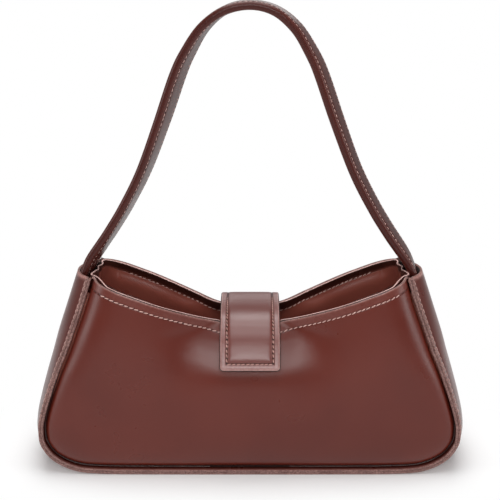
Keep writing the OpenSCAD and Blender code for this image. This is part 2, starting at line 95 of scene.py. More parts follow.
def ramp(value, start, over):
    # 0 up to the start, then softly to 1
    return ease((value - start) / over)


def fadeOut(distance, reach, over, strength):
    # the strength at first, then less towards the reach, and 0 past it
    return np.clip((reach - distance) / over, 0, 1) * strength


def mixed(a, b, t):
    return a + (b - a) * t


def unevenSteps(start, fineSteps, coarse, end):
    # fine steps at both ends and even ones between
    a = start + np.cumsum(np.r_[0, fineSteps])
    b = end - np.cumsum(np.r_[0, fineSteps])[::-1]
    count = max(2, int(round((b[0] - a[-1]) / coarse)) + 1)
    return np.r_[a, np.linspace(a[-1], b[0], count)[1:-1], b]


def bothHalves(shares):
    # from one edge to the middle and on to the other edge
    return np.r_[shares, -np.array(shares)[-2::-1]]


# Meshes

meshSizes = {
    "sharpFrom": 55,                        # faces that meet at more degrees than this show a hard edge
    "rimTurns": (20, 55, 90, 125, 160),     # steps round a cut edge, in degrees
}


def makeMesh(name, points, faces, materials, faceMaterial=None, marks=None):
    mesh = bpy.data.meshes.new(name)
    mesh.from_pydata((np.asarray(points) * mm).tolist(), [], [list(map(int, f)) for f in faces])
    for material in materials:
        mesh.materials.append(material)
    if faceMaterial is not None:
        mesh.polygons.foreach_set("material_index", np.asarray(faceMaterial, dtype=np.int32))
    for key, values in (marks or {}).items():
        layer = mesh.attributes.new(key, "FLOAT", "POINT")
        layer.data.foreach_set("value", np.asarray(values, dtype=np.float32))
    mesh.update()
    mesh.shade_smooth()
    mesh.set_sharp_from_angle(angle=math.radians(meshSizes["sharpFrom"]))
    piece = bpy.data.objects.new(name, mesh)
    bpy.context.scene.collection.objects.link(piece)
    return piece


def gridFaces(rows, cols, flip=False):
    k = np.arange(rows - 1)[:, None] * cols + np.arange(cols - 1)[None, :]
    q = np.stack([k, k + 1, k + cols + 1, k + cols], -1).reshape(-1, 4)
    return q[:, ::-1] if flip else q


def ringFaces(rings, sides, first=0):
    # quads between closed rings of points
    step = first + np.arange(rings - 1)[:, None] * sides
    a, b = step + np.arange(sides), step + (np.arange(sides) + 1) % sides
    return np.stack([a, b, b + sides, a + sides], -1).reshape(-1, 4)


def pointNormals(points, quads):
    a, b, c, d = (points[quads[:, k]] for k in range(4))
    n = np.cross(c - a, d - b)
    total = np.zeros_like(points)
    for k in range(4):
        np.add.at(total, quads[:, k], n)
    return unit(total)


def thicken(name, points, quads, thick, materials, marks=None, rimRound=0.7, normals=None):
    # a closed sheet: outer face, inner face and a rounded cut edge; the materials
    # are for the face, the cut edge and the back
    count = len(points)
    thick = np.broadcast_to(thick, (count,))
    n = pointNormals(points, quads) if normals is None else normals
    inner = points - n * thick[:, None]
    sides = {(a, b) for q in quads.tolist() for a, b in zip(q, q[1:] + q[:1])}
    rim = sorted((a, b) for a, b in sides if (b, a) not in sides)
    out = {}
    for a, b in rim:
        o = np.cross(points[b] - points[a], n[a] + n[b])
        out[a] = out.get(a, 0) + o
        out[b] = out.get(b, 0) + o
    order = sorted(out)
    place = {v: k for k, v in enumerate(order)}
    o = unit(np.array([out[v] for v in order]))
    outer, deep, t = points[order], inner[order], thick[order][:, None]
    arcs = [mixed(outer, deep, (1 - math.cos(f)) / 2) + o * t / 2 * rimRound * math.sin(f)
            for f in np.radians(meshSizes["rimTurns"])]
    turns = [2 * count + k * len(order) + np.arange(len(order)) for k in range(len(arcs))]
    rings = [np.array(order), *turns, count + np.array(order)]
    rimFaces = [(int(lo[place[b]]), int(lo[place[a]]), int(hi[place[a]]), int(hi[place[b]]))
                for a, b in rim for lo, hi in zip(rings, rings[1:])]
    faces = quads.tolist() + (quads[:, ::-1] + count).tolist() + rimFaces
    kinds = [0] * len(quads) + [2] * len(quads) + [1] * len(rimFaces)
    marks = {key: np.r_[v, v, np.tile(np.asarray(v)[order], len(arcs))] for key, v in (marks or {}).items()}
    return makeMesh(name, np.vstack([points, inner] + arcs), faces, materials, kinds, marks)


def gridSheet(name, grid, thick, materials, marks=None, flip=False, **more):
    quads = gridFaces(*grid.shape[:2], flip=flip)
    marks = {key: np.ravel(values) for key, values in (marks or {}).items()}
    return thicken(name, grid.reshape(-1, 3), quads, np.ravel(thick), materials, marks, **more)


def sewToBag(piece, slotName, *nodes):
    # the piece moves with the bag and stands for these nodes
    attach(piece, "bag")
    if nodes:
        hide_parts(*nodes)


def sewAcross(piece, slotName, bodies, fold, *nodes):
    # the piece keeps its place, with its transform baked into its mesh, and stands for these nodes
    if nodes:
        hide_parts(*nodes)
    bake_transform(piece)


# Materials

def feed(tree, socket, value):
    # a link from another node, or a fixed value
    if hasattr(value, "is_output"):
        tree.links.new(value, socket)
    elif socket.type == "RGBA":
        socket.default_value = (*value, 1)[:4]
    else:
        socket.default_value = value


def addNode(tree, kind, inputs, **settings):
    node = tree.nodes.new(kind)
    for key, value in settings.items():
        setattr(node, key, value)
    for key, value in inputs.items():
        feed(tree, node.inputs[key], value)
    return node


class Finish:
    # one material and short ways to add its nodes; sizes and depths are millimetres
    def __init__(self, name):
        self.material = bpy.data.materials.new(name)
        self.material.use_nodes = True
        self.tree = self.material.node_tree
        self.tree.nodes.clear()
        self.result = self.node("ShaderNodeOutputMaterial")
        self.shader = self.node("ShaderNodeBsdfPrincipled")
        self.place = self.node("ShaderNodeTexCoord").outputs["Object"]
        self.bumpFrom = None
        self.show(self.shader.outputs["BSDF"])

    def node(self, kind, inputs=None, **settings):
        return addNode(self.tree, kind, inputs or {}, **settings)

    def show(self, surface):
        feed(self.tree, self.result.inputs["Surface"], surface)

    def noise(self, size, detail=2.0, rough=0.5, stretch=None):
        vector = self.place
        if stretch:
            vector = self.node("ShaderNodeMapping", {"Vector": vector, "Scale": stretch}).outputs["Vector"]
        inputs = {"Vector": vector, "Scale": 1 / (size * mm), "Detail": detail, "Roughness": rough}
        return self.node("ShaderNodeTexNoise", inputs).outputs["Fac"]

    def cells(self, size):
        return self.node("ShaderNodeTexVoronoi", {"Vector": self.place, "Scale": 1 / (size * mm)},
                         feature="DISTANCE_TO_EDGE").outputs["Distance"]

    def stripes(self, way, scale, distortion=0.6, detail=1.0, detailScale=1.0):
        inputs = {"Vector": self.place, "Scale": scale, "Distortion": distortion, "Detail": detail,
                  "Detail Scale": detailScale}
        return self.node("ShaderNodeTexWave", inputs, bands_direction=way).outputs["Fac"]

    def mark(self, key):
        return self.node("ShaderNodeAttribute", attribute_name=key).outputs["Fac"]

    def sum(self, operation, *values, clamp=False):
        inputs = dict(enumerate(values))
        return self.node("ShaderNodeMath", inputs, operation=operation, use_clamp=clamp).outputs[0]

    def span(self, value, fromLow, fromHigh, low=0.0, high=1.0, smooth=True):
        inputs = {"Value": value, "From Min": fromLow, "From Max": fromHigh, "To Min": low, "To Max": high}
        return self.node("ShaderNodeMapRange", inputs,
                         interpolation_type="SMOOTHSTEP" if smooth else "LINEAR").outputs["Result"]

    def blendColour(self, factor, a, b):
        return self.node("ShaderNodeMix", {0: factor, 6: a, 7: b}, data_type="RGBA").outputs[2]

    def bump(self, height, depth):
        inputs = {"Height": height, "Distance": depth * mm, "Strength": 1.0}
        if self.bumpFrom:
            inputs["Normal"] = self.bumpFrom
        self.bumpFrom = self.node("ShaderNodeBump", inputs).outputs["Normal"]

    def finish(self, colour, roughness, **fixed):
        inputs = {"Base Color": colour, "Roughness": roughness, **fixed}
        if self.bumpFrom:
            inputs["Normal"] = self.bumpFrom
        for key, value in inputs.items():
            feed(self.tree, self.shader.inputs[key], value)
        return self.material


def shade(red, green, blue):
    # a colour as a screen shows it, 0 to 255
    return tuple(c / 12.92 if c <= 0.04045 else ((c + 0.055) / 1.055) ** 2.4
                 for c in (red / 255, green / 255, blue / 255))


leatherLook = {
    "colour": shade(97, 36, 25),
    "deepColour": shade(87, 29, 19),
    "patchSize": 60,            # of the places where the deep colour shows
    # colour of rubbed wear, and of the painted highlight on the tab's flanges
    "worn": shade(186, 138, 130),
    "wearSize": 2.2,
    "roughness": (0.27, 0.34),
    "roughSize": 26,
    "gloss": 0.36,
    # painted shade in the stitch grooves: its colour, and how far a groove is darkened towards it
    "grooveShadeColour": shade(24, 7, 5),
    "grooveDark": 0.6,
    "shadowColour": shade(26, 8, 6),
    "waveSize": 42.0,           # slow unevenness of the hide
    "waveDepth": 0.22,
    "dimpleSize": 7,
    "dimpleShare": 0.05,        # depth of the dimples, as a share of the waves'
    "grainSize": 0.8,
    "grainDepth": 0.008,
}


def leather(name, grooves, **changes):
    # smooth leather; each groove is (mark, middle, half width, depth, stitch pitch), in mm
    look = {**leatherLook, **changes}
    f = Finish(name)
    patches = f.span(f.noise(look["patchSize"], 2, 0.5), 0.3, 0.75, 0.0, 0.8)
    colour = f.blendColour(patches, look["colour"], look["deepColour"])
    roughness = f.span(f.noise(look["roughSize"], 3, 0.6), 0.3, 0.7, *look["roughness"])
    f.bump(f.noise(look["waveSize"], 1, 0.4), look["waveDepth"])
    f.bump(f.noise(look["dimpleSize"], 2, 0.5), look["waveDepth"] * look["dimpleShare"])
    creases = f.span(f.cells(look["grainSize"]), 0.0, 0.25)
    grain = f.sum("MULTIPLY_ADD", f.noise(look["grainSize"] * 0.6, 2, 0.6), 0.7, creases)
    f.bump(grain, look["grainDepth"])
    for key, middle, half, depth, pitch in grooves:
        away = f.sum("ABSOLUTE", f.sum("SUBTRACT", f.mark(key), middle))
        dip = f.span(away, 0.0, half, 1.0, 0.0)
        # the groove is deeper at each stitch's ends
        wave = f.sum("SINE", f.sum("MULTIPLY", f.mark(key + "Run"), 2 * math.pi / pitch))
        dip = f.sum("MULTIPLY", dip, f.span(wave, -1.0, 1.0, 1.0, 0.5, smooth=False))
        f.bump(f.sum("MULTIPLY", dip, -1.0), depth)
        # painted shade: the groove's colour is drawn darker
        colour = f.blendColour(f.sum("MULTIPLY", dip, look["grooveDark"]), colour, look["grooveShadeColour"])
    rubbed = f.span(f.noise(look["wearSize"], 4, 0.7), 0.25, 0.75, 0.45, 1.0)
    # rubbed wear, and on the tab's flanges and ends a painted highlight
    colour = f.blendColour(f.sum("MULTIPLY", f.mark("worn"), rubbed), colour, look["worn"])
    colour = f.blendColour(f.mark("shadow"), colour, look["shadowColour"])
    return f.finish(colour, roughness, **{"Specular IOR Level": look["gloss"]})


def cutEdge(name, colour=shade(240, 206, 200), deep=shade(192, 146, 138), size=0.7):
    # painted cut edge of leather, rubbed pale and a little ragged; the near-white default is partly a
    # painted highlight
    f = Finish(name)
    tone = f.blendColour(f.span(f.noise(size, 4, 0.7), 0.34, 0.66), deep, colour)
    tone = f.blendColour(f.span(f.noise(9, 2), 0.35, 0.7, 0.0, 0.45), tone, deep)
    f.bump(f.noise(size * 0.8, 3, 0.7), 0.22)
    return f.finish(tone, f.span(f.noise(3, 2), 0.3, 0.7, 0.42, 0.62))


def liningCloth(name, colour, deep, thread=0.55):
    # fine twill inside the bag
    f = Finish(name)
    scale = 1 / (thread * mm) / 6.28        # two threads to a stripe
    level, upright, slanting = (f.stripes(way, scale, detailScale=2.0) for way in ("X", "Z", "DIAGONAL"))
    weave = f.sum("MULTIPLY_ADD", level, 0.5, f.sum("MULTIPLY", upright, 0.5))
    weave = f.sum("MULTIPLY_ADD", slanting, 0.5, weave)
    tone = f.blendColour(f.span(weave, 0.3, 1.2), deep, colour)
    tone = f.blendColour(f.span(f.noise(25, 3), 0.35, 0.75, 0.0, 0.5), tone, deep)
    tone = f.blendColour(f.mark("shadow"), tone, shade(20, 7, 5))
    f.bump(f.noise(30, 2), 0.5)
    f.bump(weave, 0.05)
    roughness = f.span(f.noise(4, 2), 0.3, 0.7, 0.72, 0.86)
    return f.finish(tone, roughness, **{"Sheen Weight": 0.15, "Sheen Roughness": 0.4})


def threadFinish(name, colour, deep):
    f = Finish(name)
    ply = f.stripes("DIAGONAL", 900.0, distortion=1.5, detail=2.0)
    tone = f.blendColour(f.span(ply, 0.2, 0.9), deep, colour)
    tone = f.blendColour(f.span(f.noise(6, 2), 0.3, 0.7, 0.0, 0.35), tone, deep)
    f.bump(ply, 0.06)
    return f.finish(tone, 0.55, **{"Sheen Weight": 0.2, "Sheen Roughness": 0.35})


def metalFinish(name, colour, roughness):
    f = Finish(name)
    dull = tuple(c * 0.6 for c in colour)
    tone = f.blendColour(f.span(f.noise(3, 4, 0.7), 0.35, 0.75, 0.0, 0.5), colour, dull)
    brushed = f.noise(0.5, 3, 0.6, stretch=(1, 1, 14))
    f.bump(f.noise(0.4, 3, 0.6, stretch=(1, 1, 10)), 0.01)
    return f.finish(tone, f.span(brushed, 0.3, 0.7, roughness, roughness + 0.16), Metallic=1.0)


def foamFinish(name, cellSize=0.8):
    f = Finish(name)
    tone = f.blendColour(f.span(f.cells(cellSize), 0.0, 0.4), shade(70, 60, 56), shade(128, 116, 108))
    f.bump(f.cells(cellSize), 0.3)
    return f.finish(tone, 0.9)


def boardFinish(name):
    # stiff board covered in the lining cloth
    f = Finish(name)
    level, across = (f.stripes(way, 290.0) for way in ("X", "Y"))
    weave = f.sum("MULTIPLY_ADD", level, 0.5, f.sum("MULTIPLY", across, 0.5))
    tone = f.blendColour(weave, shade(48, 20, 16), shade(72, 34, 28))
    f.bump(weave, 0.05)
    f.bump(f.noise(14, 2), 0.15)
    return f.finish(tone, 0.8, **{"Sheen Weight": 0.15})


# the facing's top edge: pale edge paint, brightened as a painted highlight along the mouth
edgePaintAndHighlight = cutEdge("cutEdgePaintAndHighlight")
seamPaint = cutEdge("seamEdgePaint", shade(158, 120, 113), shade(92, 56, 50), 1.1)
fleshSide = liningCloth("fleshSide", shade(96, 56, 48), shade(70, 38, 32), 0.9)
liningFabric = liningCloth("liningFabric", shade(172, 102, 88), shade(146, 82, 70))
seamThread = threadFinish("seamThread", shade(232, 196, 186), shade(178, 132, 122))
paddingFoam = foamFinish("paddingFoam")


# The bag's shape, which all the walls and linings share

shape = {
    "mouthEdge": [(0, 99.4), (10, 99.4), (20.3, 100.5), (37.3, 106.3), (52.1, 111.8), (66.8, 117.5),
                  (80.9, 122.9), (93.2, 127.6), (101.0, 130.5)],
    "seam": [(104.2, 130.5), (109.3, 114.5), (115.2, 98.3), (119.9, 85.5), (125.6, 72.0), (132.4, 53.0),
             (136.7, 38.0), (137.5, 29.0), (136.0, 20.0), (128.6, 10.0), (115.0, 2.9), (98.0, 0.6),
             (60.0, 0.1), (0.0, 0.0)],
    "crown": [(112.3, 130.5), (119.2, 110.5), (126.4, 89.5), (130.6, 75.4), (135.2, 60.5), (139.3, 46.0),
              (142.0, 34.0), (142.4, 22.0), (136.6, 8.0), (122.0, 1.2), (99.0, 0.1), (60.0, 0.0),
              (0.0, 0.0)],
    "cornerHeight": 130.5,
    "floorDepth": 36.0,         # half the depth at the floor, at the seam's cut edge
    "topPinch": 13.0,           # how much less that is at the top
    "lip": 4.5,                 # width of the raised seam edge
    "lean": (0.06, 0.22),       # how far the left and the right seam edge lean over the panel
    "leather": 1.6,
    "wallInset": 4.2,           # the wall starts this far inside the seam
    "bend": 0.8,                # radius where the lip turns into the wall
}

# how a wall bulges; pairs are where a change starts and over what length it comes
wallSizes = {
    "swell": 39.6,              # half the depth where the walls bulge most
    "swellBelow": 62.0,         # that far below the mouth
    "sideRound": 21.0,          # width over which the bulge rises beside the seam
    "floorRound": 30.0,
    "seamFillet": 0.9,          # small round at the foot of the rise
    "dip": 20.6,                # half the depth under the tab
    "endsDeeper": 12.6,         # how much more that is at the mouth's ends
    "endsRise": (12, 58),
    "upright": 0.85,            # how upright the wall stays at the mouth beside the tab
    "uprightFade": (40, 42),
    "lowerFade": (2, 16),       # below the mouth, the middle's shape reaches further out
    "lowerShift": 0.6,
    "middleAtMouth": (12, 24),
    "middleLower": (14, 48),
    # the middle's own line, as height and half depth
    "middle": [(100.0, 20.7), (96.5, 23.4), (92.0, 27.09), (87.5, 29.28), (83.0, 31.47), (78.5, 33.67),
               (74.0, 35.86), (68.0, 38.0), (60.0, 39.4), (45.0, 40.0), (25.0, 39.8), (5.0, 38.5)],
    # soft unevenness of the hand-made wall: two waves' height and how long they are across and down
    "slowWave": (0.5, 31.0, 27.0),
    "slantWave": (0.35, 17.0, 39.0),
    "unevenMiddle": (14, 26),   # it fades out under the tab
    "unevenBelow": 25,
}

mouthLine = smoothLine(shape["mouthEdge"], 200)
middleLine = smoothLine(wallSizes["middle"], 300)[::-1]
halfSeam = lineToMiddle(shape["seam"], 2400, 700)
halfCrown = lineToMiddle(shape["crown"], 2400, 700)
halfCrown[:, 1] = np.maximum(halfCrown[:, 1], 0)
seamRun = runLength(halfSeam)
seamLong = seamRun[-1]
seamNormal = unit(np.gradient(halfSeam, axis=0)) @ np.array([[0, 1], [-1, 0]])
seamNormal[-1] = (0, -1)
edgeFall = 0.936        # distance from the sloping mouth edge, for a height of 1 below it


def seamPoint(s, inset):
    # x and z at run s of the right half, moved inwards
    return sample(s, seamRun, halfSeam) - sample(s, seamRun, seamNormal) * np.asarray(inset)[..., None]


def mouthHeight(x):
    return np.interp(np.abs(x), mouthLine[:, 0], mouthLine[:, 1])


def edgeDepth(s):
    height = sample(s, seamRun, halfSeam)[:, 1]
    return shape["floorDepth"] - shape["topPinch"] * (height / shape["cornerHeight"]) ** 2


def rootDepth(s):
    return edgeDepth(s) - shape["lip"]


def leanAt(s, side):
    # the lean dies out towards the floor
    return np.where(side < 0, *shape["lean"]) * (1 - ramp(s, seamLong * 0.35, seamLong * 0.2))


wallRim = seamPoint(seamRun, shape["wallInset"])
wallRim = wallRim[wallRim[:, 0] >= 0]


def rimDistance(x, z):
    # distance to the wall's sewn edge, and the seam's run there
    p = np.column_stack([np.abs(np.ravel(x)), np.ravel(z)])
    best = np.full(len(p), 1e9)
    run = np.zeros(len(p))
    for a, b, s in zip(wallRim, wallRim[1:], seamRun):
        ab = b - a
        t = np.clip((p - a) @ ab / (ab @ ab), 0, 1)
        gap = np.hypot(*(p - a - t[:, None] * ab).T)
        near = gap < best
        best = np.where(near, gap, best)
        run = np.where(near, s, run)
    return best.reshape(np.shape(x)), run.reshape(np.shape(x))


def wallDepth(x, z):
    # half the depth of the bag at a panel's outer face
    size = wallSizes
    off = np.abs(x)
    away, run = rimDistance(x, z)
    below = np.maximum(0, mouthHeight(x) - z) * 0.94
    mouth = size["dip"] + size["endsDeeper"] * ramp(off, *size["endsRise"]) ** 0.85
    # beside the tab the wall stays upright at the mouth and swells out lower down
    even = np.sin(np.pi / 2 * np.clip(below / size["swellBelow"], 0, 1)) ** 0.9
    late = ease(below / (0.95 * size["swellBelow"]))
    upright = size["upright"] * (1 - ramp(off, *size["uprightFade"]))
    full = mouth + (size["swell"] - mouth) * mixed(even, late, upright)
    lower = ramp(below, *size["lowerFade"])
    shift = size["lowerShift"] * lower * (mouthHeight(x) - shape["mouthEdge"][0][1])
    middle = np.interp(z - shift, middleLine[:, 0], middleLine[:, 1])
    start, over = (mixed(a, b, lower) for a, b in zip(size["middleAtMouth"], size["middleLower"]))
    full = mixed(middle, full, ramp(off, start, over))
    # it rises from the seam's root, steeply at the sides and more gently from the floor
    root = np.interp(run, seamRun, rootDepth(seamRun))
    radius = mixed(size["sideRound"], size["floorRound"], ramp(run, seamLong * 0.45, seamLong * 0.25))
    t = np.clip(away / radius, 0, 1)
    rise = np.sqrt(1 - (1 - t) ** 2) * (1 - np.exp(-(away / size["seamFillet"]) ** 1.4))
    high, long, tall = size["slowWave"]
    slow = high * np.sin(x / long + 0.6) * np.sin(z / tall + 0.4)
    high, long, tall = size["slantWave"]
    sag = slow + high * np.sin(x / long + z / tall + 2.0)
    sag = sag * t * np.minimum(1, below / size["unevenBelow"]) * ramp(off, *size["unevenMiddle"])
    return root + (full + sag - root) * rise


# The wall is a grid from the mouth down and from side to side
wallGridSizes = {
    "edgeSteps": (0.35, 0.45, 0.6, 0.8, 1.0, 1.3, 1.6),
    "down": (2.3, 125.0),       # the other steps and the whole length
    "across": (2.4, 118.0),     # and the same for half the width
    "split": 0.575,             # the share of the seam that counts as the wall's side
}
downStep, downLong = wallGridSizes["down"]
acrossStep, acrossLong = wallGridSizes["across"]
wallRows = unevenSteps(0, wallGridSizes["edgeSteps"], downStep, downLong) / downLong
wallCols = unevenSteps(-acrossLong, wallGridSizes["edgeSteps"], acrossStep, acrossLong) / acrossLong
splitRun = seamLong * wallGridSizes["split"]


def wallPlace(u, v):
    # x and z of the wall at u, from side to side, and v, from mouth to floor
    inset = shape["wallInset"]
    side = seamPoint(v * splitRun, inset)
    low = seamPoint(seamLong - np.abs(u) * (seamLong - splitRun), inset)
    top, split = seamPoint(np.array([0.0, splitRun]), inset)
    mx = u * top[0]
    x = mixed(mx, np.sign(u) * low[..., 0], v) + u * side[..., 0] - u * mixed(top[0], split[0], v)
    z = mixed(mouthHeight(mx), low[..., 1], v) + side[..., 1] - mixed(top[1], split[1], v)
    return x, z


def wallOffset(x, z, deep):
    # a point behind a panel's outer face, square to it
    e = 0.3
    y = wallDepth(x, z)
    dx = (wallDepth(x + e, z) - wallDepth(x - e, z)) / (2 * e)
    dz = (wallDepth(x, z + e) - wallDepth(x, z - e)) / (2 * e)
    n = unit(np.stack([-dx, np.ones_like(y), -dz], -1))
    return np.stack([x, y, z], -1) - n * np.asarray(deep)[..., None]


def turned(points, back):
    # points made for the back as they stand, or mirrored to the front
    return points * np.array((1, 1, 1) if back else (1, -1, 1))


print("shape of the walls set")


# Front and back panel

panelSizes = {
    "stitchBelow": 5.2,         # the stitch line, below the mouth edge
    "pitch": 3.3,
    "seamGap": 0.03,            # hairline between a panel's lip and the gusset's
    "bendTurns": (25, 50, 72, 90),          # lines up the lip: first round its bend, in degrees,
    "climbs": (0.3, 0.55, 0.8, 0.94, 1.0),  # then at these shares of its height
    "lipShadow": (0.8, 0.75, 0.65, 0.5, 0.3, 0.12, 0.0, 0.0, 0.0),
    "lipWorn": (0, 0, 0, 0, 0.05, 0.2, 0.45, 0.8, 1.0),
    "footShadow": 0.75,         # in the crease where the wall meets the lip
    "edgeWear": (0.8, 1.1, 0.7),            # along the mouth edge
    "flangeWearAndHighlight": (5.0, 0.4, 0.09),         # above the stitches: reach, fade and strength
    "stitchSpan": 95.5,         # the line is drawn this far out, and sewn this far outside and inside
    "sewnTo": (94.5, 83.0),
}
panelGroove = ("mouthGap", panelSizes["stitchBelow"], 0.9, 0.35, panelSizes["pitch"])
panelLeather = leather("panelLeather", [panelGroove])


def makePanel(name, back, node):
    x, z = wallPlace(*np.meshgrid(wallCols, wallRows))
    rows, cols = x.shape
    points = np.stack([x, -wallDepth(x, z), z], -1).reshape(-1, 3)
    quads = gridFaces(rows, cols, flip=True)
    # the lip runs down one side, along the floor and up the other side
    number = np.arange(rows * cols).reshape(rows, cols)
    ring = np.r_[number[:, 0], number[-1, 1:], number[-2::-1, -1]]
    row, col = np.divmod(ring, cols)
    u, v = wallCols[col], wallRows[row]
    atSide = (col == 0) | (col == cols - 1)
    runs = np.where(atSide, v * splitRun, seamLong - np.abs(u) * (seamLong - splitRun))
    sides = np.where(u < 0, -1, 1)
    edge, root, lean = edgeDepth(runs), rootDepth(runs), leanAt(runs, sides)
    inset = 2 * shape["leather"] + panelSizes["seamGap"]
    wide = shape["wallInset"] - 2 * shape["leather"] - panelSizes["seamGap"]
    bend = shape["bend"]
    lines = [(wide * (1 - math.sin(f)), root + bend * (1 - math.cos(f)))
             for f in np.radians(panelSizes["bendTurns"])]
    lines += [(0.0, mixed(root + bend, edge, climb)) for climb in panelSizes["climbs"]]
    strips = []
    for inwards, deep in lines:
        p = seamPoint(runs, inset + (inwards + lean * (deep - root)))
        strips.append(np.column_stack([p[:, 0] * sides, -deep, p[:, 1]]))
    first = len(points)
    points = np.vstack([points] + strips)
    rings = [ring] + [first + k * len(ring) + np.arange(len(ring)) for k in range(len(strips))]
    bands = [np.column_stack([hi[:-1], hi[1:], lo[1:], lo[:-1]]) for lo, hi in zip(rings, rings[1:])]
    quads = np.vstack([quads] + bands)
    if back:
        points = points * (1, -1, 1)
        quads = quads[:, ::-1]
    # marks: distance below the mouth edge, run along it, rubbed and shaded places
    px, pz = points[:, 0], points[:, 2]
    gap = (mouthHeight(px) - pz) * edgeFall
    gap[first:] = 50
    run = np.interp(np.abs(px), mouthLine[:, 0], runLength(mouthLine)) * np.sign(px)
    away, _ = rimDistance(px, pz)
    full, fade, strength = panelSizes["edgeWear"]
    worn = np.clip(full - gap / fade, 0, 1) * strength + fadeOut(gap, *panelSizes["flangeWearAndHighlight"])
    shadow = np.clip(1 - away, 0, 1) * panelSizes["footShadow"]
    worn[first:] = np.repeat(panelSizes["lipWorn"], len(ring))
    shadow[first:] = np.repeat(panelSizes["lipShadow"], len(ring))
    marks = {"mouthGap": gap, "mouthGapRun": run, "worn": worn, "shadow": shadow}
    piece = thicken(name, points, quads, shape["leather"], [panelLeather, seamPaint, fleshSide], marks,
                    rimRound=0.45)
    sewToBag(piece, "outer_leather", node)


makePanel("frontPanel", False, "front_panel")
makePanel("backPanel", True, "back_panel")
print("panels made")


# Gusset: one strip down one side, under the bag and up the other

gussetSizes = {
    "across": (-1, -0.985, -0.95, -0.9, -0.82, -0.72, -0.6, -0.48, -0.36, -0.24, -0.12, 0),
    "lipLines": (1.0, 0.94, 0.8, 0.6, 0.35, 0.12),      # shares of the lip's height
    "topWear": (2.4, 0.7, 0.8),     # rubbed top ends: reach, fade and strength
    "threadStations": 260,
    "stitchFrom": 2.0,              # the stitches start this far down the seam
    "stations": 240,
    "stitchIn": 3.0,
    "pitch": 3.7,
}
gussetGroove = ("edgeGap", gussetSizes["stitchIn"], 0.8, 0.3, gussetSizes["pitch"])
gussetLeather = leather("gussetLeather", [gussetGroove],
                        colour=shade(88, 36, 28), deepColour=shade(78, 29, 22))


def crownShare(y, root, s):
    # 0 at the seams, 1 in the middle; flatter near the floor
    floorward = ramp(s / seamLong, 0.6, 0.2)
    t = np.clip(np.abs(y) / root, 0, 1)
    return (1 - t ** mixed(2.0, 4.0, floorward)) ** mixed(0.85, 0.6, floorward)


def gussetPlace(s, side, y):
    # outer face of the gusset at run s of the left or right half
    root = rootDepth(s)
    seam = sample(s, seamRun, halfSeam)
    crown = sample(s / seamLong, np.linspace(0, 1, len(halfCrown)), halfCrown)
    share = np.where(np.abs(y) < root, crownShare(y, root, s), 0.0)[:, None]
    lean = leanAt(s, side) * np.maximum(0, np.abs(y) - root)
    p = seam + (crown - seam) * share - sample(s, seamRun, seamNormal) * lean[:, None]
    return np.column_stack([p[:, 0] * side, y, p[:, 1]])


def gussetStations(count, top=0.0):
    half = np.linspace(top, seamLong, count)
    return np.r_[half, half[-2::-1]], np.repeat((-1, 1), (count - 1, count))


def makeGusset():
    s, side = gussetStations(gussetSizes["stations"])
    root, edge = rootDepth(s), edgeDepth(s)
    lips = [gussetPlace(s, side, -mixed(root, edge, share)) for share in gussetSizes["lipLines"]]
    lines = [gussetPlace(s, side, share * root) for share in bothHalves(gussetSizes["across"])]
    otherLips = [p * (1, -1, 1) for p in lips[::-1]]
    grid = np.array(lips + lines + otherLips).transpose(1, 0, 2)
    gap = edge[:, None] - np.abs(grid[..., 1])
    run = np.broadcast_to(np.where(side < 0, s, 2 * seamLong - s)[:, None], gap.shape)
    worn = np.maximum(np.clip(1 - gap, 0, 1), fadeOut(s, *gussetSizes["topWear"])[:, None])
    marks = {"edgeGap": gap, "edgeGapRun": run, "worn": worn, "shadow": gap * 0}
    piece = gridSheet("gussetStrip", grid, shape["leather"], [gussetLeather, seamPaint, fleshSide], marks,
                      rimRound=0.45)
    sewToBag(piece, "outer_leather", "gusset")


makeGusset()
print("gusset made")


# Padding, linings and facings

linerSizes = {
    "padding": 1.8,
    "facing": 1.0,
    "lining": 0.6,
    "gap": 0.15,
    "padEdge": 0.93,        # the padding's reach, as a share of the wall
    "padStart": 0.10,
    "snapPlace": (0, 83.02),
    "snapHole": (8.5, 0.9),     # radius, and the share of it that the slanting wall leaves in height
    "liningTop": (0.165, 0.10),     # where it starts, behind the facing, and how much higher at the ends
    "liningShadow": (60, 160, 0.4),     # it darkens below this height, by 1 over this length, up to this
    "cutAllowance": 1.12,
}
behindPanel = shape["leather"] + linerSizes["gap"]


def makePadding(name, back, node):
    cols = np.linspace(-linerSizes["padEdge"], linerSizes["padEdge"], 90)
    rows = np.linspace(linerSizes["padStart"], linerSizes["padEdge"], 46)
    x, z = wallPlace(*np.meshgrid(cols, rows))
    points = turned(wallOffset(x, z, behindPanel), back).reshape(-1, 3)
    quads = gridFaces(*x.shape, flip=not back)
    if not back:
        # the panel's half of the snap is riveted through a hole in the front padding
        middle = points[quads].mean(1)[:, ::2] - linerSizes["snapPlace"]
        radius, squash = linerSizes["snapHole"]
        quads = quads[np.hypot(middle[:, 0], middle[:, 1] / squash) >= radius]
        used, quads = np.unique(quads, return_inverse=True)
        points, quads = points[used], quads.reshape(-1, 4)
    piece = thicken(name, points, quads, linerSizes["padding"], [paddingFoam] * 3)
    sewToBag(piece, "padding", node)


def declareLining(grid):
    # the cloth is cut to the wall it lines and is glued on stretched
    spans = [runLength(grid[len(grid) // 2])[-1], runLength(grid[:, grid.shape[1] // 2])[-1]]
    a, b = grid[1:, :-1] - grid[:-1, 1:], grid[1:, 1:] - grid[:-1, :-1]
    area = float(np.linalg.norm(np.cross(a, b), axis=-1).sum() / 2) * mm * mm
    long, wide = sorted((span * mm * linerSizes["cutAllowance"] for span in spans), reverse=True)
    wide = max(wide, area * 1.02 / long)


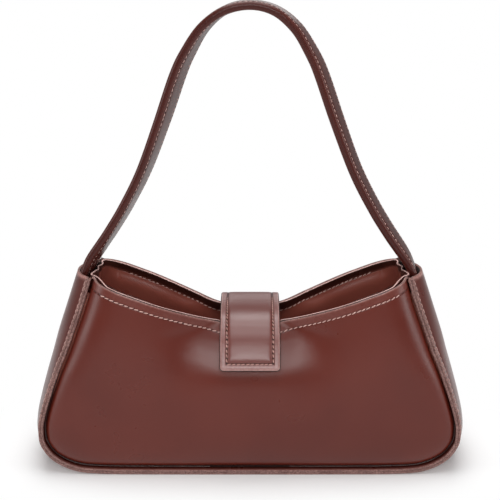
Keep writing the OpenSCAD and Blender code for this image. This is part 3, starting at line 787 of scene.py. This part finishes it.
def makeLining(name, back, node):
    u, t = np.meshgrid(np.linspace(-1, 1, 110), np.linspace(0, 1, 60))
    middle, less = linerSizes["liningTop"]
    start = middle - less * np.abs(u) ** 3
    x, z = wallPlace(u, start + (1 - start) * t)
    away, _ = rimDistance(x, z)
    deep = behindPanel + (linerSizes["padding"] + linerSizes["gap"]) * ramp(away, 1, 5)
    grid = turned(wallOffset(x, z, deep), back)
    height, over, most = linerSizes["liningShadow"]
    marks = {"shadow": np.clip((height - z) / over, 0, most)}
    piece = gridSheet(name, grid, linerSizes["lining"], [liningFabric] * 3, marks, flip=not back)
    sewToBag(piece, "lining", node)
    declareLining(grid)


makePadding("frontPadding", False, "front_padding")
makePadding("backPadding", True, "back_padding")
makeLining("frontLining", False, "front_lining")
makeLining("backLining", True, "back_lining")

gussetLiningSizes = {
    "across": (-1, -0.9, -0.76, -0.6, -0.4, -0.2, 0),
    "top": 21.0,            # its upper edge is this far down, behind the facing
    "stations": 150,
    "inside": 2.15,         # depth of its face below the leather's
    "narrower": 2.2,
}


def makeGussetLining():
    size = gussetLiningSizes
    s, side = gussetStations(size["stations"], size["top"])
    n = sample(s, seamRun, seamNormal) * np.column_stack([side, np.ones(len(s))])
    lines = []
    for share in bothHalves(size["across"]):
        p = gussetPlace(s, side, share * (rootDepth(s) - size["narrower"]))
        p[:, ::2] -= n * size["inside"]
        lines.append(p)
    grid = np.array(lines).transpose(1, 0, 2)
    marks = {"shadow": np.full(grid.shape[:2], 0.2)}
    piece = gridSheet("gussetLining", grid, linerSizes["lining"], [liningFabric] * 3, marks)
    sewToBag(piece, "lining", "gusset_lining")
    declareLining(grid)


makeGussetLining()

# The facing is a band round the inside of the mouth. At each end it leaves the panels,
# runs behind the strap and is pressed in a little where the strap pushes on it.
facingSizes = {
    "panelEnd": 91.0,
    "proud": (0.5, -0.1),       # how far its edge stands above the panel's, front and back
    "clear": 0.5,               # gap to the panel at the edge
    "over": 0.4,                # gap to the padding and lining that it covers
    "sideTop": 130.6,
    # the folds at the corners of the mouth, from the panel's end to the middle of the bag's end
    "frontCorner": [(94.6, 21.6), (98.0, 17.6), (100.6, 15.4), (101.3, 12.4), (100.3, 8.4),
                    (98.9, 4.6), (98.4, 1.4)],
    "backCorner": [(94.8, 21.4), (97.4, 17.6), (98.0, 14.6), (97.2, 11.2), (97.4, 7.4),
                   (99.2, 4.4), (99.4, 2.6)],
    "cornerLean": (0.26, 0.25),     # how far a fold leans out and sideways for each mm down
    "leanFrom": (88, 10),           # where along x that starts and over what length it comes
    "topFrom": (92, 6),             # the same for the change from the mouth's height to sideTop
    "wallRoom": 2.8,                # least distance behind the wall's face
    "endAfter": 6,                  # past the panel's end, the band counts as the bag's end
    "edgeWorn": 0.8,
    "foldDark": (5.0, 0.86),        # the strip above the stitches is dark down to here, and this much
    "rows": (0, 0.5, 1.2, 2.4, 4.0, 5.2, 6.4, 8.0, 10.0, 12.5, 15.0, 17.5, 19.4, 20.0),
}
facingLeather = leather("facingLeather", [("mouthGap", panelSizes["stitchBelow"], 0.8, 0.3, 3.7)],
                        waveDepth=0.08, gloss=0.3, colour=shade(142, 76, 64), deepColour=shade(126, 62, 51))


def facingHalf(h, back):
    # the band's line at h below its edge, from the middle of a panel to the middle of the right end
    proud = facingSizes["proud"][int(back)]
    xs = np.linspace(0, facingSizes["panelEnd"], 24)
    zs = mouthHeight(xs) - h / edgeFall
    deep = behindPanel + linerSizes["facing"]
    deep = deep + facingSizes["clear"] * (1 - ease(h / 3))
    deep = deep + (linerSizes["padding"] + linerSizes["lining"] + facingSizes["over"]) * ramp(h, 5, 7)
    line = [(x, y, z + proud) for x, y, z in wallOffset(xs, zs, deep)]
    outwards, sideways = facingSizes["cornerLean"]
    for x, y in facingSizes["backCorner" if back else "frontCorner"]:
        x = x + outwards * h * ramp(x, *facingSizes["leanFrom"]) * ease(abs(y) / 9)
        z = mixed(mouthHeight(x) + proud, facingSizes["sideTop"], ramp(x, *facingSizes["topFrom"])) - h
        rim = np.interp(-z, -wallRim[:, 1], wallRim[:, 0])
        room = float(wallDepth(np.array([min(x, rim - 0.2)]), np.array([z]))[0]) - facingSizes["wallRoom"]
        line.append((x, min(y + sideways * h * ease(y / 22), room), z))
    return line


def facingLoop(h):
    front = [(x, -y, z) for x, y, z in facingHalf(h, False)]
    return np.array(front + facingHalf(h, True)[::-1])


def makeFacings():
    half = np.array([smoothLine(facingLoop(h), 170) for h in facingSizes["rows"]])
    otherHalf = (half * (-1, 1, 1))[:, ::-1]
    # all the way round, from the front's middle
    whole = np.concatenate([half[:, :-1], otherHalf[:, :-1], half[:, :1]], 1)
    top = whole[0]
    gap = np.broadcast_to(np.array(facingSizes["rows"])[:, None], whole.shape[:2]).astype(float)
    darkTo, dark = facingSizes["foldDark"]
    allMarks = {
        "mouthGap": gap,
        "mouthGapRun": np.broadcast_to(runLength(top)[None], gap.shape),
        "worn": np.clip(1 - gap / facingSizes["edgeWorn"], 0, 1),
        "shadow": np.where(gap < darkTo, dark, 0.0),
    }
    atEnd = np.abs(top[:, 0]) > facingSizes["panelEnd"] + facingSizes["endAfter"]
    c1, c2, c3, c4 = np.flatnonzero(np.diff(atEnd.astype(int))) + 1
    strips = {
        "right": np.arange(c1, c2 + 1),
        "back": np.arange(c2, c3 + 1),
        "left": np.arange(c3, c4 + 1),
        "front": np.r_[np.arange(c4, len(top)), np.arange(1, c1 + 1)],
    }
    for where, pick in strips.items():
        marks = {key: values[:, pick] for key, values in allMarks.items()}
        piece = gridSheet(where + "Facing", whole[:, pick], linerSizes["facing"],
                          [facingLeather, edgePaintAndHighlight, facingLeather], marks)
        sewToBag(piece, "inner_leather", where + "_facing")


makeFacings()
print("padding, linings and facings made")


# Strap

strapSizes = {
    "path": [(111.4, 110.5), (108.8, 119.5), (106.3, 128.0), (103.4, 135.0), (100.4, 140.2), (95.1, 147.9),
             (89.3, 156.4), (79.5, 172.3), (67.3, 195.9), (55.3, 226.7), (44.5, 256.8), (37.7, 271.0),
             (28.4, 285.2), (15.5, 295.4), (0, 298.9)],
    "width": 22.0,
    "flat": 9.0,            # half width of its face, up to the round edge
    "thick": 5.8,
    "skived": 0.72,         # share of the thickness left where it is sewn in
    "skivedTo": (110.0, 14.0),
    # turn about its length in degrees, by height, on the left leg and the right
    "turnLeft": [(112, 0), (126, 6), (138, 12), (152, 12), (185, 13), (215, 15), (245, 17), (268, 15),
                 (288, 8), (299, 0)],
    "turnRight": [(112, 0), (126, 4), (138, 8), (152, 11), (200, 14), (245, 16), (268, 13), (288, 7),
                  (299, 0)],
    "stitchIn": 2.9,
    "pitch": 3.2,
    "stitchFrom": 118,      # height where the stitches start
    "stations": 150,
    "threadSunk": 0.5,
    "bodies": ("bag", "strap"),
    "fold": ((0, 0, 0.124), (0, 0, 0.152)),         # where it bends when it swings, in metres
}
strapGroove = ("edgeGap", strapSizes["stitchIn"], 0.7, 0.25, strapSizes["pitch"])
strapLeather = leather("strapLeather", [strapGroove], waveDepth=0.05, gloss=0.24, roughness=(0.26, 0.32),
                       colour=shade(74, 30, 24), deepColour=shade(64, 24, 19), worn=shade(150, 104, 96))


def strapLines():
    # the middle line, and at each point of it the ways across the band and inwards
    right = lineToMiddle(strapSizes["path"], 1200, strapSizes["stations"])
    line = np.vstack([right[:-1] * (-1, 1), right[::-1]])
    line = np.column_stack([line[:, 0], np.zeros(len(line)), line[:, 1]])
    turns = [smoothLine(strapSizes[key], 100).T for key in ("turnLeft", "turnRight")]
    left, right = (np.interp(line[:, 2], *turn) for turn in turns)
    twist = np.radians(np.where(line[:, 0] < 0, left, -right))
    across = np.tile((0.0, 1.0, 0.0), (len(line), 1))
    inwards = unit(np.cross(across, unit(np.gradient(line, axis=0))))
    c, s = np.cos(twist)[:, None], np.sin(twist)[:, None]
    return line, across * c + inwards * s, inwards * c - across * s


def strapProfile():
    # half widths with the thickness there, from the middle of a face round the edge
    half, flat = strapSizes["width"] / 2, strapSizes["flat"]
    t = strapSizes["thick"] / 2
    face = [(0.0, t), (3.0, t), (5.8, t - 0.05), (7.2, t - 0.2), (7.7, t - 0.38),
            (half - strapSizes["stitchIn"], t - 0.55), (8.5, t - 0.38), (flat, t - 0.3)]
    edge = [(flat + (half - flat) * math.sin(a), (t - 0.3) * math.cos(a))
            for a in np.radians([20, 40, 60, 78, 90])]
    quarter = face + edge
    right = quarter + [(a, -b) for a, b in quarter[-2::-1]]
    left = [(-a, -b) for a, b in right[1:-1]]
    return np.array(right + left)


def makeStrap(line, across, inwards):
    profile = strapProfile()
    thin = mixed(strapSizes["skived"], 1.0, ramp(line[:, 2], *strapSizes["skivedTo"]))[:, None, None]
    rings = (line[:, None] + across[:, None] * profile[None, :, :1]
             + inwards[:, None] * profile[None, :, 1:] * thin)
    n, m = rings.shape[:2]
    caps = [list(range(m)), [(n - 1) * m + i for i in range(m)][::-1]]
    fromMiddle, fromCore = np.abs(profile).T
    # the groove's mark is shifted away on the round edge, which has none
    gap = strapSizes["width"] / 2 - fromMiddle + np.where(fromCore < 1.4, -9.0, 0.0)
    marks = {
        "edgeGap": np.tile(gap, n),
        "edgeGapRun": np.repeat(runLength(line), m),
        "shadow": np.tile(np.where(fromCore < 1.2, 0.12, 0.0), n),
        "worn": np.tile(np.where(np.abs(fromMiddle - 9.9) < 0.7, 0.12, 0.0), n),
    }
    faces = ringFaces(n, m).tolist() + caps
    piece = makeMesh("strap", rings.reshape(-1, 3), faces, [strapLeather], marks=marks)
    sewAcross(piece, "strap_leather", strapSizes["bodies"], strapSizes["fold"],
              "strap_cover", "strap_core", "strap_backing", "strap_end_left", "strap_end_right")


strapFrame = strapLines()
makeStrap(*strapFrame)
print("strap made")


# Fold-over tab, from the back panel up, over the mouth and down the front

tabSizes = {
    "width": 37.4,
    "thick": 4.1,
    "flange": 4.0,          # from the edge to the stitching
    "pitch": 2.9,
    "cornerRound": 1.3,
    # its middle line from the root on the back over the mouth to the flap's end, as y and z
    "line": [(41.6, 58.4), (40.3, 67.0), (38.1, 75.1), (34.2, 83.1), (30.3, 91.0), (26.2, 99.2),
             (21.0, 104.6), (13.5, 106.7), (4.5, 106.8), (-5.0, 106.2), (-13.5, 104.7), (-20.8, 102.1),
             (-27.2, 98.2), (-32.4, 92.6), (-37.2, 84.4), (-41.46, 75.65)],
    # the cover's height by distance from the edge: low outside the stitching, padded inside
    "relief": [(0.0, -0.55), (0.4, -0.35), (2.9, -0.2), (3.5, -0.5), (4.0, -1.0), (4.5, -0.5), (5.4, 0.0),
               (7.0, 0.22), (10.0, 0.36), (19.0, 0.42)],
    "edgeSteps": (0.25, 0.5, 0.7, 0.75, 0.7, 0.55, 0.45, 0.45, 0.6, 0.8, 1.1),
    "tight": (14, 13, 0.75),    # over the back fold the cover is drawn flatter: where, how far and how much
    "rimWear": (0.6, 0.8),      # reach and strength
    "flangeWearAndHighlight": (3.4, 0.6, 0.14),         # outside the stitches: reach, fade and strength of rubbed wear with a painted highlight
    "endWearAndHighlight": (3.4, 0.6, 0.15),            # painted highlight and wear, as much again at the two ends
    "threadSunk": 0.66,         # depth of the thread in the cover's groove
    "split": -2.0,              # the tab is made in two lengths that meet here
}
# the tab's cut edge is drawn dark: partly edge paint, partly painted shade for the dark line under its end
# and sides
tabPaintAndShade = cutEdge("tabEdgePaintAndShade", shade(84, 52, 46), shade(56, 31, 27))
tabGroove = ("edgeGap", tabSizes["flange"], 1.0, 0.5, tabSizes["pitch"])
# the tab's pale wear colour also paints the highlight on its flanges
tabLeather = leather("tabLeather", [tabGroove], waveDepth=0.06, gloss=0.75, roughness=(0.29, 0.35),
                     grooveDark=0.95, colour=shade(102, 44, 36), deepColour=shade(92, 37, 30),
                     worn=shade(206, 164, 158))
tabThread = threadFinish("tabThread", shade(228, 186, 176), shade(168, 120, 110))

tabLine = smoothLine(tabSizes["line"], 170)
tabRun = runLength(tabLine)
tabOut = unit(np.gradient(tabLine, axis=0)) @ np.array([[0, -1], [1, 0]])
splitAt = int(np.argmin(np.abs(tabLine[:, 0] - tabSizes["split"])))
tabStep = np.arange(len(tabLine))

# each length of the tab and the fold it crosses: its steps, its parts in the frame, its bodies and the fold
tabLengths = {
    "Back": (tabStep[:splitAt + 1], ("root", "bridge"), ("bag", "tab_bridge"),
             ((0, 0.0305, 0.0915), (0, 0.0145, 0.1075))),
    "Front": (tabStep[splitAt:], ("flap",), ("tab_bridge", "tab_flap"),
              ((0, -0.0215, 0.1010), (0, -0.0345, 0.0930))),
}


def makeTabLength(name, pick, nodes, bodies, fold):
    line, out, run = tabLine[pick], tabOut[pick], tabRun[pick]
    half = tabSizes["width"] / 2
    xs = unevenSteps(-half, tabSizes["edgeSteps"], 1.6, half)
    toEnd = np.minimum(run, tabRun[-1] - run)
    toSide = half - np.abs(xs)[None]
    gap = np.minimum(toSide, toEnd[:, None])
    middle, reach, share = tabSizes["tight"]
    loose = 1 - share * np.exp(-((line[:, 0] - middle) / reach) ** 2)
    tall = tabSizes["thick"] / 2 + np.interp(gap, *zip(*tabSizes["relief"])) * loose[:, None]
    radius = tabSizes["cornerRound"]
    inCorner = np.maximum(0, radius - toEnd)
    shrink = np.maximum(0, radius - np.sqrt(np.maximum(0, radius ** 2 - inCorner ** 2)))
    wide = (half - shrink) / half
    y, z = line[:, :1] + out[:, :1] * tall, line[:, 1:] + out[:, 1:] * tall
    grid = np.stack([xs[None] * wide[:, None], y, z], -1)
    stitchRun = np.where(toSide < toEnd[:, None], run[:, None], xs[None] + 3)
    reach, strength = tabSizes["rimWear"]
    # rubbed edge, with a painted highlight on the flanges and at the ends
    worn = np.clip(1 - gap / reach, 0, 1) * strength + fadeOut(gap, *tabSizes["flangeWearAndHighlight"])
    worn = worn + fadeOut(toEnd, *tabSizes["endWearAndHighlight"])[:, None]
    marks = {"edgeGap": gap, "edgeGapRun": stitchRun, "worn": worn, "shadow": gap * 0}
    square = np.repeat(np.column_stack([np.zeros(len(line)), out]), len(xs), axis=0)
    piece = gridSheet(name, grid, tabSizes["thick"] / 2 + tall, [tabLeather, tabPaintAndShade, tabLeather], marks,
                      flip=True, normals=square, rimRound=0.35)
    sewAcross(piece, "tab_leather", bodies, fold, *nodes)


for where, (pick, parts, bodies, fold) in tabLengths.items():
    nodes = [f"tab_{part}_{ply}" for part in parts for ply in ("cover", "core", "backing")]
    makeTabLength("tab" + where, pick, nodes, bodies, fold)
print("tab made")


# Thread: every stitch is a small rounded bar that dips into the leather at both ends

stitchShape = {
    "long": 0.86,           # share of the pitch
    "radius": 0.36,
    "flat": 0.8,            # height, as a share of the width
    "arch": 0.22,
    "sunk": 0.12,
    "slant": 12.0,
    # unevenness of hand sewing: place, slant, thickness and length
    "placeScatter": 0.05,
    "slantScatter": 2.5,
    "radiusScatter": (0.93, 1.07),
    "longScatter": (0.95, 1.04),
}


def stitchTemplate(sides=6):
    rings = [(-0.5, 0.35), (-0.42, 0.8), (-0.2, 1.0), (0.0, 1.05), (0.2, 1.0), (0.42, 0.8), (0.5, 0.35)]
    corners = [(math.cos(a), math.sin(a)) for a in np.arange(sides) * math.pi / 3]
    points = [(x, r * c, r * s) for x, r in rings for c, s in corners]
    caps = [list(range(sides))[::-1], list(range(len(points) - sides, len(points)))]
    return np.array(points), ringFaces(len(rings), sides).tolist() + caps


def makeStitches(name, runs, pitch, material, width):
    # each run is a line of points with the outward direction at each
    size = stitchShape
    bar, barFaces = stitchTemplate()
    arch = size["arch"] * (1 - (2 * bar[:, 0]) ** 2) - size["sunk"]
    points, faces = [], []
    for line, normals in runs:
        length = runLength(line)
        count = max(2, int(length[-1] / pitch))
        for place in (np.arange(count) + 0.5) / count * length[-1]:
            place = place + dice.normal(0, size["placeScatter"]) * pitch
            behind, p, ahead = sample(place + np.array((-0.5, 0, 0.5)), length, line)
            n = unit(sample(place, length, normals))
            t = unit(ahead - behind)
            side = unit(np.cross(n, t))
            n = np.cross(t, side)
            slant = math.radians(size["slant"] + dice.normal(0, size["slantScatter"]))
            c, s = math.cos(slant), math.sin(slant)
            t, side = t * c + side * s, side * c - t * s
            r = size["radius"] * width * dice.uniform(*size["radiusScatter"])
            long = pitch * size["long"] * dice.uniform(*size["longScatter"])
            first = len(points) * len(bar)
            points.append(p + t * (bar[:, :1] * long) + side * (bar[:, 1:2] * r)
                          + n * ((bar[:, 2:] * r * size["flat"]) + arch[:, None]))
            faces += [tuple(first + k for k in f) for f in barFaces]
    return makeMesh(name, np.vstack(points), faces, [material])


def mouthStitchRun(back, inside):
    xs = np.linspace(-panelSizes["stitchSpan"], panelSizes["stitchSpan"], 240)
    slope = np.gradient(mouthHeight(xs), xs)
    fall = 1 / np.sqrt(1 + slope ** 2)
    x = xs + slope * fall * panelSizes["stitchBelow"]
    z = mouthHeight(xs) - fall * panelSizes["stitchBelow"]
    deep = behindPanel + linerSizes["facing"] if inside else 0.0
    p = wallOffset(x, z, deep)
    q = wallOffset(x, z, deep + 1.0)
    n = unit(q - p) if inside else unit(p - q)
    keep = np.abs(x) < panelSizes["sewnTo"][int(inside)]
    return turned(p[keep], back), turned(n[keep], back)


for back, where in ((False, "Front"), (True, "Back")):
    for name, inside, slotName, width in (("mouthThread", False, "outer_leather", 0.95),
                                          ("facingThread", True, "inner_leather", 0.9)):
        run = mouthStitchRun(back, inside)
        sewToBag(makeStitches(name + where, [run], panelSizes["pitch"], seamThread, width), slotName)


def seamStitchRun(back):
    s, side = gussetStations(gussetSizes["threadStations"])
    sewn = s > gussetSizes["stitchFrom"]
    s, side = s[sewn], side[sewn]
    p = gussetPlace(s, side, edgeDepth(s) - gussetSizes["stitchIn"])
    n = sample(s, seamRun, seamNormal)
    n = np.column_stack([n[:, 0] * side, np.zeros(len(s)), n[:, 1]])
    return turned(p, back), turned(n, back)


for back, where in ((False, "Front"), (True, "Back")):
    piece = makeStitches("seamThread" + where, [seamStitchRun(back)], gussetSizes["pitch"], seamThread, 1.0)
    sewToBag(piece, "outer_leather")


def strapStitches(line, across, inwards):
    keep = line[:, 2] > strapSizes["stitchFrom"]
    half = strapSizes["width"] / 2 - strapSizes["stitchIn"]
    high = strapSizes["thick"] / 2 - strapSizes["threadSunk"]
    runs = []
    for edge in (-1, 1):
        for face in (-1, 1):
            p = line + across * half * edge + inwards * face * high
            runs.append((p[keep], (inwards * face)[keep]))
    piece = makeStitches("strapThread", runs, strapSizes["pitch"], seamThread, 0.85)
    sewAcross(piece, "strap_leather", strapSizes["bodies"], strapSizes["fold"])


strapStitches(*strapFrame)


def tabStitches(name, pick, bodies, fold):
    # along both sides and across the length's own end, on both faces
    half = tabSizes["width"] / 2 - tabSizes["flange"]
    firstRow, lastRow = tabSizes["flange"], tabRun[-1] - tabSizes["flange"]
    use = pick[(tabRun[pick] > firstRow) & (tabRun[pick] < lastRow)]
    atEnd = int(np.argmin(np.abs(tabRun - (firstRow if pick[0] == 0 else lastRow))))
    xs = np.linspace(-half, half, 40)
    runs = []
    for face in (1, -1):
        high = tabSizes["thick"] / 2 - (tabSizes["threadSunk"] if face > 0 else 0.0)
        for side in (-1, 1):
            p = np.column_stack([np.full(len(use), side * half), tabLine[use] + tabOut[use] * face * high])
            runs.append((p, np.column_stack([np.zeros(len(use)), tabOut[use] * face])))
        spot = tabLine[atEnd] + tabOut[atEnd] * face * high
        normals = np.tile((0, *(tabOut[atEnd] * face)), (len(xs), 1))
        runs.append((np.column_stack([xs, np.tile(spot, (len(xs), 1))]), normals))
    sewAcross(makeStitches(name, runs, tabSizes["pitch"], tabThread, 0.9), "tab_leather", bodies, fold)


for where, (pick, _, bodies, fold) in tabLengths.items():
    tabStitches("tabThread" + where, pick, bodies, fold)
print("stitches made")


# Finishes of the hard parts that the frame brings

brass = metalFinish("snapBrass", shade(206, 176, 120), 0.24)
steel = metalFinish("washerSteel", shade(176, 176, 178), 0.32)
hardParts = {
    "snap_magnet": brass,
    "snap_plate": brass,
    "snap_magnet_washer": steel,
    "snap_plate_washer": steel,
    "floor_board": boardFinish("boardCover"),
}
for node, material in hardParts.items():
    materials = bpy.data.objects[node].data.materials
    materials.clear()
    materials.append(material)
print("hard parts finished")


# Floor, lamps and camera

stageSizes = {
    "rings": (0.2, 0.5, 1.0, 3.0, 12.0, 60.0),      # radii of the floor in metres
    "sides": 48,
    "paper": 0.93,          # how pale the floor is
    "nearLift": 0.05,       # share of pure white that a camera sees under the bag
    "near": 0.042,          # reach of that, and from where on it is all white; across the bag they
    "far": 0.086,           # reach further, in the same ratio as the bag's width and depth
    "widthShare": 0.32,
    # gloss sees white paper round the bag, up to the first of these distances, and from the
    # second on a small share of white; the shares come after them
    "mirrored": (0.065, 0.15, 1.0, 0.15),
}


def makeFloor():
    rings, sides = stageSizes["rings"], stageSizes["sides"]
    points = [(0, 0, 0)] + [(r * 1000 * math.cos(a), r * 1000 * math.sin(a), 0)
                            for r in rings for a in np.arange(sides) * 2 * math.pi / sides]
    faces = [(0, 1 + j, 1 + (j + 1) % sides) for j in range(sides)]
    faces += ringFaces(len(rings), sides, 1)[:, (0, 3, 2, 1)].tolist()
    f = Finish("paperFloor")
    pale = stageSizes["paper"]
    tone = f.blendColour(f.span(f.noise(180, 2), 0.3, 0.7), (pale, pale, pale), (pale * 0.985,) * 3)
    f.finish(tone, 0.8, **{"Specular IOR Level": 0.1})
    # the paper is lifted to white with distance, and keeps the shadow beside the bag
    squeeze = {"Vector": f.place, "Scale": (stageSizes["widthShare"], 1, 1)}
    squeezed = f.node("ShaderNodeMapping", squeeze).outputs["Vector"]
    away = f.node("ShaderNodeVectorMath", {0: squeezed}, operation="LENGTH").outputs["Value"]
    lift = f.span(away, stageSizes["near"], stageSizes["far"], stageSizes["nearLift"], 1.0)
    rays = f.node("ShaderNodeLightPath").outputs
    mirrored = f.sum("MAXIMUM", rays["Is Glossy Ray"], rays["Is Transmission Ray"])
    mirrored = f.sum("MULTIPLY", mirrored, f.span(away, *stageSizes["mirrored"]))
    white = f.sum("MULTIPLY_ADD", rays["Is Camera Ray"], lift, mirrored, clamp=True)
    glow = f.node("ShaderNodeEmission", {"Color": (1, 1, 1), "Strength": 1.0}).outputs["Emission"]
    mix = f.node("ShaderNodeMixShader", {0: white, 1: f.shader.outputs["BSDF"], 2: glow})
    f.show(mix.outputs["Shader"])
    makeMesh("floor", points, faces, [f.material])


makeFloor()

lampSizes = {
    # name: place, target, width and height in metres, watts
    "softboxTop": ((0.0, 0.22, 1.25), (0.0, 0.0, 0.09), (0.9, 0.75), 10.0),
    "softboxUpper": ((0.0, -0.50, 1.20), (0.0, 0.0, 0.10), (0.9, 0.45), 3.6),
    "softboxFront": ((0.0, -1.15, 0.68), (0.0, 0.0, 0.09), (0.7, 0.26), 4.8),
    "softboxBack": ((0.0, 1.25, 0.62), (0.0, 0.0, 0.10), (0.9, 0.32), 1.2),
    "softboxLeft": ((-1.05, -0.35, 0.36), (0.0, 0.0, 0.11), (0.42, 0.66), 3.0),
    "softboxRight": ((1.05, -0.35, 0.36), (0.0, 0.0, 0.11), (0.42, 0.66), 3.0),
}

for name, (place, target, size, watts) in lampSizes.items():
    light = bpy.data.lights.new(name, "AREA")
    light.shape = "RECTANGLE"
    light.size, light.size_y = size
    light.energy = watts
    lamp = bpy.data.objects.new(name, light)
    lamp.location = place
    lamp.rotation_euler = Vector(np.array(target) - np.array(place)).to_track_quat("-Z", "Y").to_euler()
    bpy.context.scene.collection.objects.link(lamp)

# white where a camera sees it, a third of that for gloss, and a soft fill for the rest
skyLook = {"fill": 0.18, "Is Camera Ray": 1, "Is Glossy Ray": 0.32, "Is Transmission Ray": 1}
world = bpy.data.worlds.new("studio")
bpy.context.scene.world = world
world.use_nodes = True
sky = world.node_tree
background = sky.nodes["Background"].inputs
rays = sky.nodes.new("ShaderNodeLightPath").outputs
strength = skyLook["fill"]
for ray in ("Is Camera Ray", "Is Glossy Ray", "Is Transmission Ray"):
    inputs = {0: rays[ray], 1: skyLook[ray] - skyLook["fill"], 2: strength}
    strength = addNode(sky, "ShaderNodeMath", inputs, operation="MULTIPLY_ADD").outputs[0]
feed(sky, background["Color"], (1, 1, 1))
feed(sky, background["Strength"], strength)

# from the photograph's perspective; the focal length is in pixels of its width
cameraSizes = {"place": (0, -0.680, 0.343), "tilt": 73.6, "sensor": 36, "focal": 1090, "photoWidth": 500}
cameraData = bpy.data.cameras.new("camera")
cameraData.sensor_width = cameraSizes["sensor"]
cameraData.lens = cameraSizes["sensor"] * cameraSizes["focal"] / cameraSizes["photoWidth"]
camera = bpy.data.objects.new("camera", cameraData)
camera.location = cameraSizes["place"]
camera.rotation_euler = (math.radians(cameraSizes["tilt"]), 0, 0)
bpy.context.scene.collection.objects.link(camera)
bpy.context.scene.camera = camera
bpy.context.scene.view_settings.view_transform = "Standard"
print("stage set")
